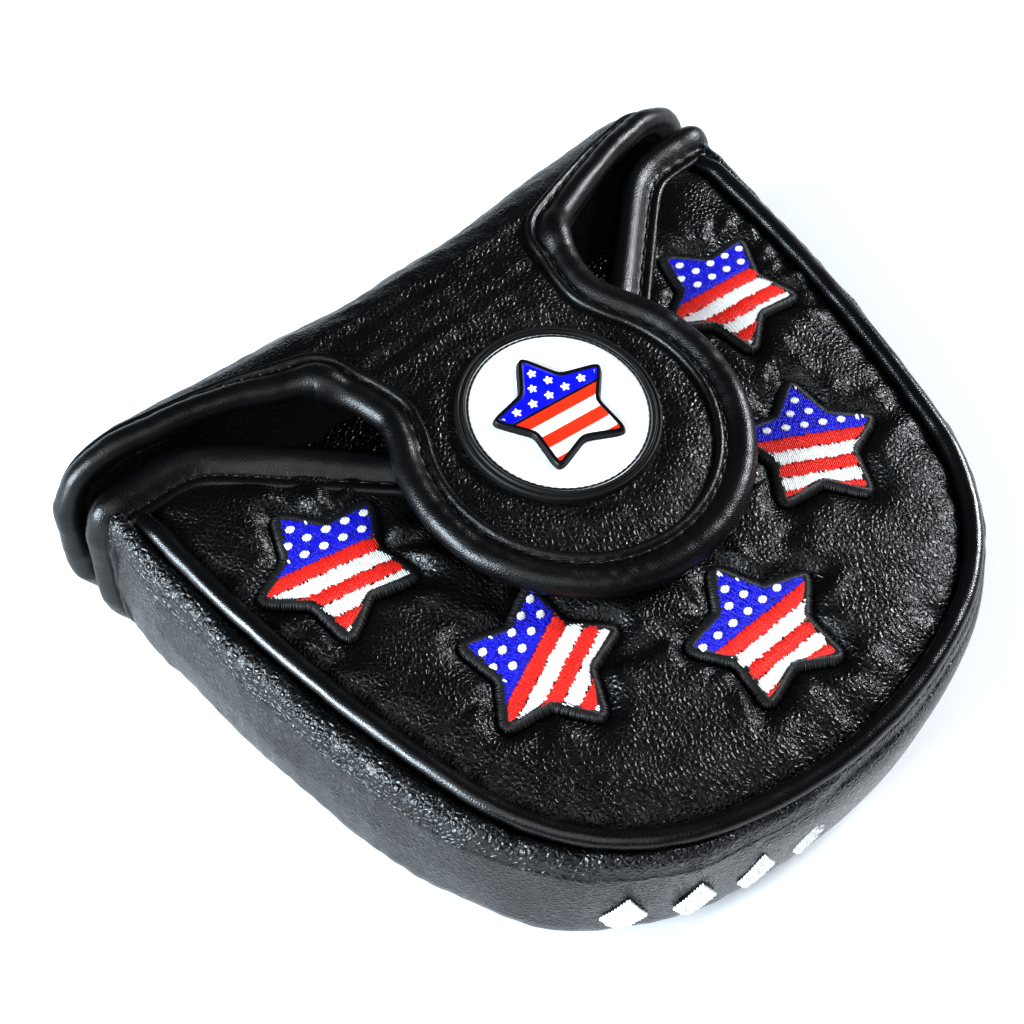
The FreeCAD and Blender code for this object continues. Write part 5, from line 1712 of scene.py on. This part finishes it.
@dataclass
class Badge:
    """The moulded rubber badge sewn to the tongue."""

    seam: Seam
    base: float = 5.75
    turn: float = -6.0

    RING = ((15.75, -0.6), (15.8, 0.5), (15.6, 0.9), (15.3, 0.98), (15.1, 0.82), (14.95, 0.85),
            (14.75, 1.15), (14.5, 1.2), (14.3, 1.05), (14.2, 0.6), (14.15, 0.1), (14.1, -0.6))

    def __post_init__(self) -> None:
        """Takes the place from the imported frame."""
        low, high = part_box("badge_face")
        self.x = (low.x + high.x) / 2 / MM
        self.a = ((low.y + high.y) / 2 / MM - self.seam.mouth_y) / math.cos(self.seam.slope) + 0.35

    def _world(self, x: Array, y: Array, h: Array) -> Array:
        """Turns places on the badge, from its middle and its back, into the row frame."""
        return self.seam.world(self.x + x, self.a + y, self.base + h)

    def ring(self) -> bpy.types.Object:
        """Builds the ridged ring."""
        shape = through(self.RING, 60, closed=True)
        turn = np.arange(260) / 260 * 2 * HALF_TURN
        x, y = np.cos(turn)[:, None] * shape[:, 0], np.sin(turn)[:, None] * shape[:, 0]
        sections = self._world(x, y, np.broadcast_to(shape[:, 1], x.shape))
        made = tube_object("badge_ridges", sections, [Finish.BADGE.material], closed=True)
        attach(made, "tongue")
        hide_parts("badge_ring")
        return made

    def face(self) -> bpy.types.Object:
        """Builds the white face."""
        turn = np.arange(200) / 200 * 2 * HALF_TURN
        radius = np.linspace(0, 14.25, 40)[:, None]
        x, y = radius * np.cos(turn), radius * np.sin(turn)
        high = 0.62 + 0.10 * (1 - (radius / 14.25) ** 2) + 0 * x
        top = self._world(x, y, high)
        bottom = self._world(x, y, 0 * x - 0.5)
        bottom[-1] = top[-1]
        made = lens_object("badge_white", top, bottom, [Finish.FACE.material])
        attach(made, "tongue")
        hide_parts("badge_face")
        return made

    def star(self) -> bpy.types.Object:
        """Builds the raised star: blue with white dots over red and white bars, edged in black."""
        turn = np.arange(420) / 420 * 2 * HALF_TURN
        limit = star_radius(turn, 11.4, 0.58, 4.0)
        share = np.linspace(0, 1, 110)[:, None]
        spin = math.radians(self.turn)
        x, y = share * limit * np.cos(turn), share * limit * np.sin(turn)
        line = np.stack([limit * np.cos(turn), limit * np.sin(turn)], -1)
        depth = gap_to(x, y, even(np.vstack([line, line[:1]]), 420, True))
        colours = {key: np.array(linear(code)) for key, code in
                   (("black", "08090A"), ("blue", "0E18E0"), ("white", "FAFAF8"), ("red", "F0431F"))}
        split = 1.2
        bar = np.floor((split - y) / 2.05).astype(int) % 2 == 0
        paint = np.where(bar[..., None], colours["red"], colours["white"])
        upper = y > split
        paint = np.where(upper[..., None], colours["blue"], paint)
        row = np.round((y - split - 1.5) / 2.3)
        shift = (row % 2) * 1.5
        dot_x = x - (np.round((x - shift) / 3.0) * 3.0 + shift)
        dot_y = y - (split + 1.5 + row * 2.3)
        petal = 0.62 + 0.16 * np.cos(5 * np.arctan2(dot_y, dot_x))
        dot = upper & (np.hypot(dot_x, dot_y) < petal) & (depth > 1.25)
        paint = np.where(dot[..., None], colours["white"], paint)
        edge = depth < 0.95
        groove = np.abs(y - split) < 0.22
        paint = np.where((edge | groove)[..., None], colours["black"], paint)
        high = 0.72 + 0.95 * smooth_step(0.0, 0.4, depth) - 0.30 * smooth_step(0.85, 1.1, depth)
        high = high + 0.16 * dot + 0.12 * (bar & ~upper) * (depth > 1.0) - 0.15 * (groove & ~edge)
        high[-1] = 0.3
        place = turned(np.stack([x, y], -1), spin)
        top = self._world(place[..., 0], place[..., 1], high)
        bottom = self._world(place[..., 0], place[..., 1], 0 * x + 0.1)[::10]
        bottom[-1] = top[-1]
        made = lens_object("badge_mark", top, bottom, [Finish.MARK.material], paint)
        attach(made, "tongue")
        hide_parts("badge_star")
        return made

    def stitches(self) -> bpy.types.Object:
        """Builds the ring of sewing at the edge of the face."""
        turn = np.arange(78) / 78 * 2 * HALF_TURN
        half = 0.62 / 13.8
        ends = []
        for angle in (turn - half, turn + half):
            ends.append(self._world(13.85 * np.cos(angle), 13.85 * np.sin(angle), 0 * angle + 0.66))
        threads = Threads("badge_sewing", [Finish.SEWING.material], 0.17)
        up = self.seam.world(np.zeros(1), np.zeros(1), np.ones(1)) - self.seam.world(
            np.zeros(1), np.zeros(1), np.zeros(1))
        threads.lay(ends[0], ends[1], up[0], 0.10)
        made = threads.make()
        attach(made, "tongue")
        return made

    def build(self) -> None:
        """Builds every piece of the badge."""
        self.ring()
        self.face()
        self.star()
        self.stitches()


@dataclass
class Keepers:
    """The magnets of the closure and the cloth patches that hold them."""

    seam: Seam

    def _disc(self, name: str, body: str, node: str) -> None:
        """Builds a cloth patch whose edge is rounded off, in place of a plain disc.

        Args:
            name: name of the object.
            body: the body that it moves with.
            node: the disc's node.
        """
        low, high = (np.array(corner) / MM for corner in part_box(node))
        middle = (low + high) / 2
        radius = (high[0] - low[0]) / 2
        half = max((high[2] - low[2] - 2 * radius * math.sin(self.seam.slope)) / 2, 0.25)
        a = (middle[1] - self.seam.mouth_y) / math.cos(self.seam.slope)
        h = (middle[2] - self.seam.height - a * math.sin(self.seam.slope)) / math.cos(self.seam.slope)
        turn = np.arange(90) / 90 * 2 * HALF_TURN
        share = np.linspace(0, 1, 12)[:, None]
        x, y = middle[0] + radius * share * np.cos(turn), a + radius * share * np.sin(turn)
        lens = half * np.sqrt(1 - 0.92 * share ** 4) + 0 * x
        top, bottom = self.seam.world(x, y, h + lens), self.seam.world(x, y, h - lens)
        bottom[-1] = top[-1]
        made = lens_object(name, top, bottom, [Finish.PATCH.material])
        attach(made, body)
        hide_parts(node)

    def build(self) -> None:
        """Builds the patches and finishes the magnets."""
        self._disc("panel_keeper", "pouch", "panel_patch")
        self._disc("tongue_keeper", "tongue", "tongue_patch")
        for node in ("panel_magnet", "tongue_magnet"):
            for slot in frame["nodes"][node].material_slots:
                slot.material = Finish.MAGNET.material


# ---------------------------------------------------------------- the set


@dataclass
class Studio:
    """Floor, soft lights and camera."""

    eye: tuple[float, float, float] = (-115.55, -90.26, 245.28)
    azimuth: float = 0.81
    down: float = 0.99
    roll: float = 0.10
    lens: float = 60.1

    def _light(self, name: str, place: Sequence[float], size: float, power: float, colour: str) -> None:
        """Hangs a square soft box that points at the cover.

        Args:
            name: name of the light.
            place: where it hangs, in metres.
            size: its side.
            power: its power in watts.
            colour: its sRGB hex colour.
        """
        data = bpy.data.lights.new(name, "AREA")
        data.shape, data.size, data.energy = "SQUARE", size, power
        data.color = linear(colour)[:3]
        made = bpy.data.objects.new(name, data)
        made.location = place
        made.rotation_euler = (Vector((0, 0, 0.02)) - Vector(place)).to_track_quat("-Z", "Y").to_euler()
        bpy.context.scene.collection.objects.link(made)

    def build(self) -> None:
        """Builds the set."""
        floor = Shader("floor_paint")
        floor.finish({"Base Color": linear("F2F2F2"), "Roughness": 0.75, "Specular IOR Level": 0.15})
        reach = 6.0
        ground = make_object("floor", np.array([(-reach, -reach, 0), (reach, -reach, 0), (reach, reach, 0),
                                                (-reach, reach, 0)]), [(0, 1, 2, 3)], [floor.material])
        scene = bpy.context.scene
        world = bpy.data.worlds.new("studio")
        world.use_nodes = True
        background = world.node_tree.nodes["Background"]
        background.inputs["Color"].default_value = linear("C4D8EE")
        background.inputs["Strength"].default_value = 0.20
        scene.world = world
        self._light("window_left", (-0.72, 0.12, 0.26), 0.42, 15.0, "EAF6FF")
        self._light("window_right", (0.72, -0.12, 0.48), 0.28, 9.0, "F8FBFF")
        self._light("overhead", (-0.70, -0.60, 1.10), 1.20, 10.0, "FFFFFF")
        scene.view_settings.gamma = 0.72
        scene.view_settings.view_transform = "Standard"
        data = bpy.data.cameras.new("camera")
        data.lens, data.sensor_width = self.lens, 36.0
        data.clip_start, data.clip_end = 0.01, 30.0
        data.dof.use_dof = False
        camera = bpy.data.objects.new("camera", data)
        down, az = self.down, self.azimuth
        ahead = np.array([math.sin(az) * math.cos(down), math.cos(az) * math.cos(down), -math.sin(down)])
        right = unit(np.cross(ahead, [0, 0, 1.0]))
        up = np.cross(right, ahead)
        c, s = math.cos(self.roll), math.sin(self.roll)
        right, up = c * right + s * up, -s * right + c * up
        camera.matrix_world = Matrix([(right[k], up[k], -ahead[k], self.eye[k] * MM) for k in range(3)]
                                     + [(0, 0, 0, 1)])
        scene.collection.objects.link(camera)
        scene.camera = camera


def main() -> None:
    """Builds the whole scene."""
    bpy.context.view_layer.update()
    seam = Seam()
    turns = (8, 40, -6, -30, 14)
    lays = (-11, 23, 0, -27.6, -6)
    emblems = [Emblem(f"emblem_{k + 1}", seam, turns[k], lays[k]) for k in range(5)]
    Pouch(seam, MouthSheet(seam), emblems).build()
    Wrap(seam, WrapSheet(seam)).build()
    Badge(seam).build()
    Keepers(seam).build()
    Studio().build()


if __name__ == "__main__":
    main()
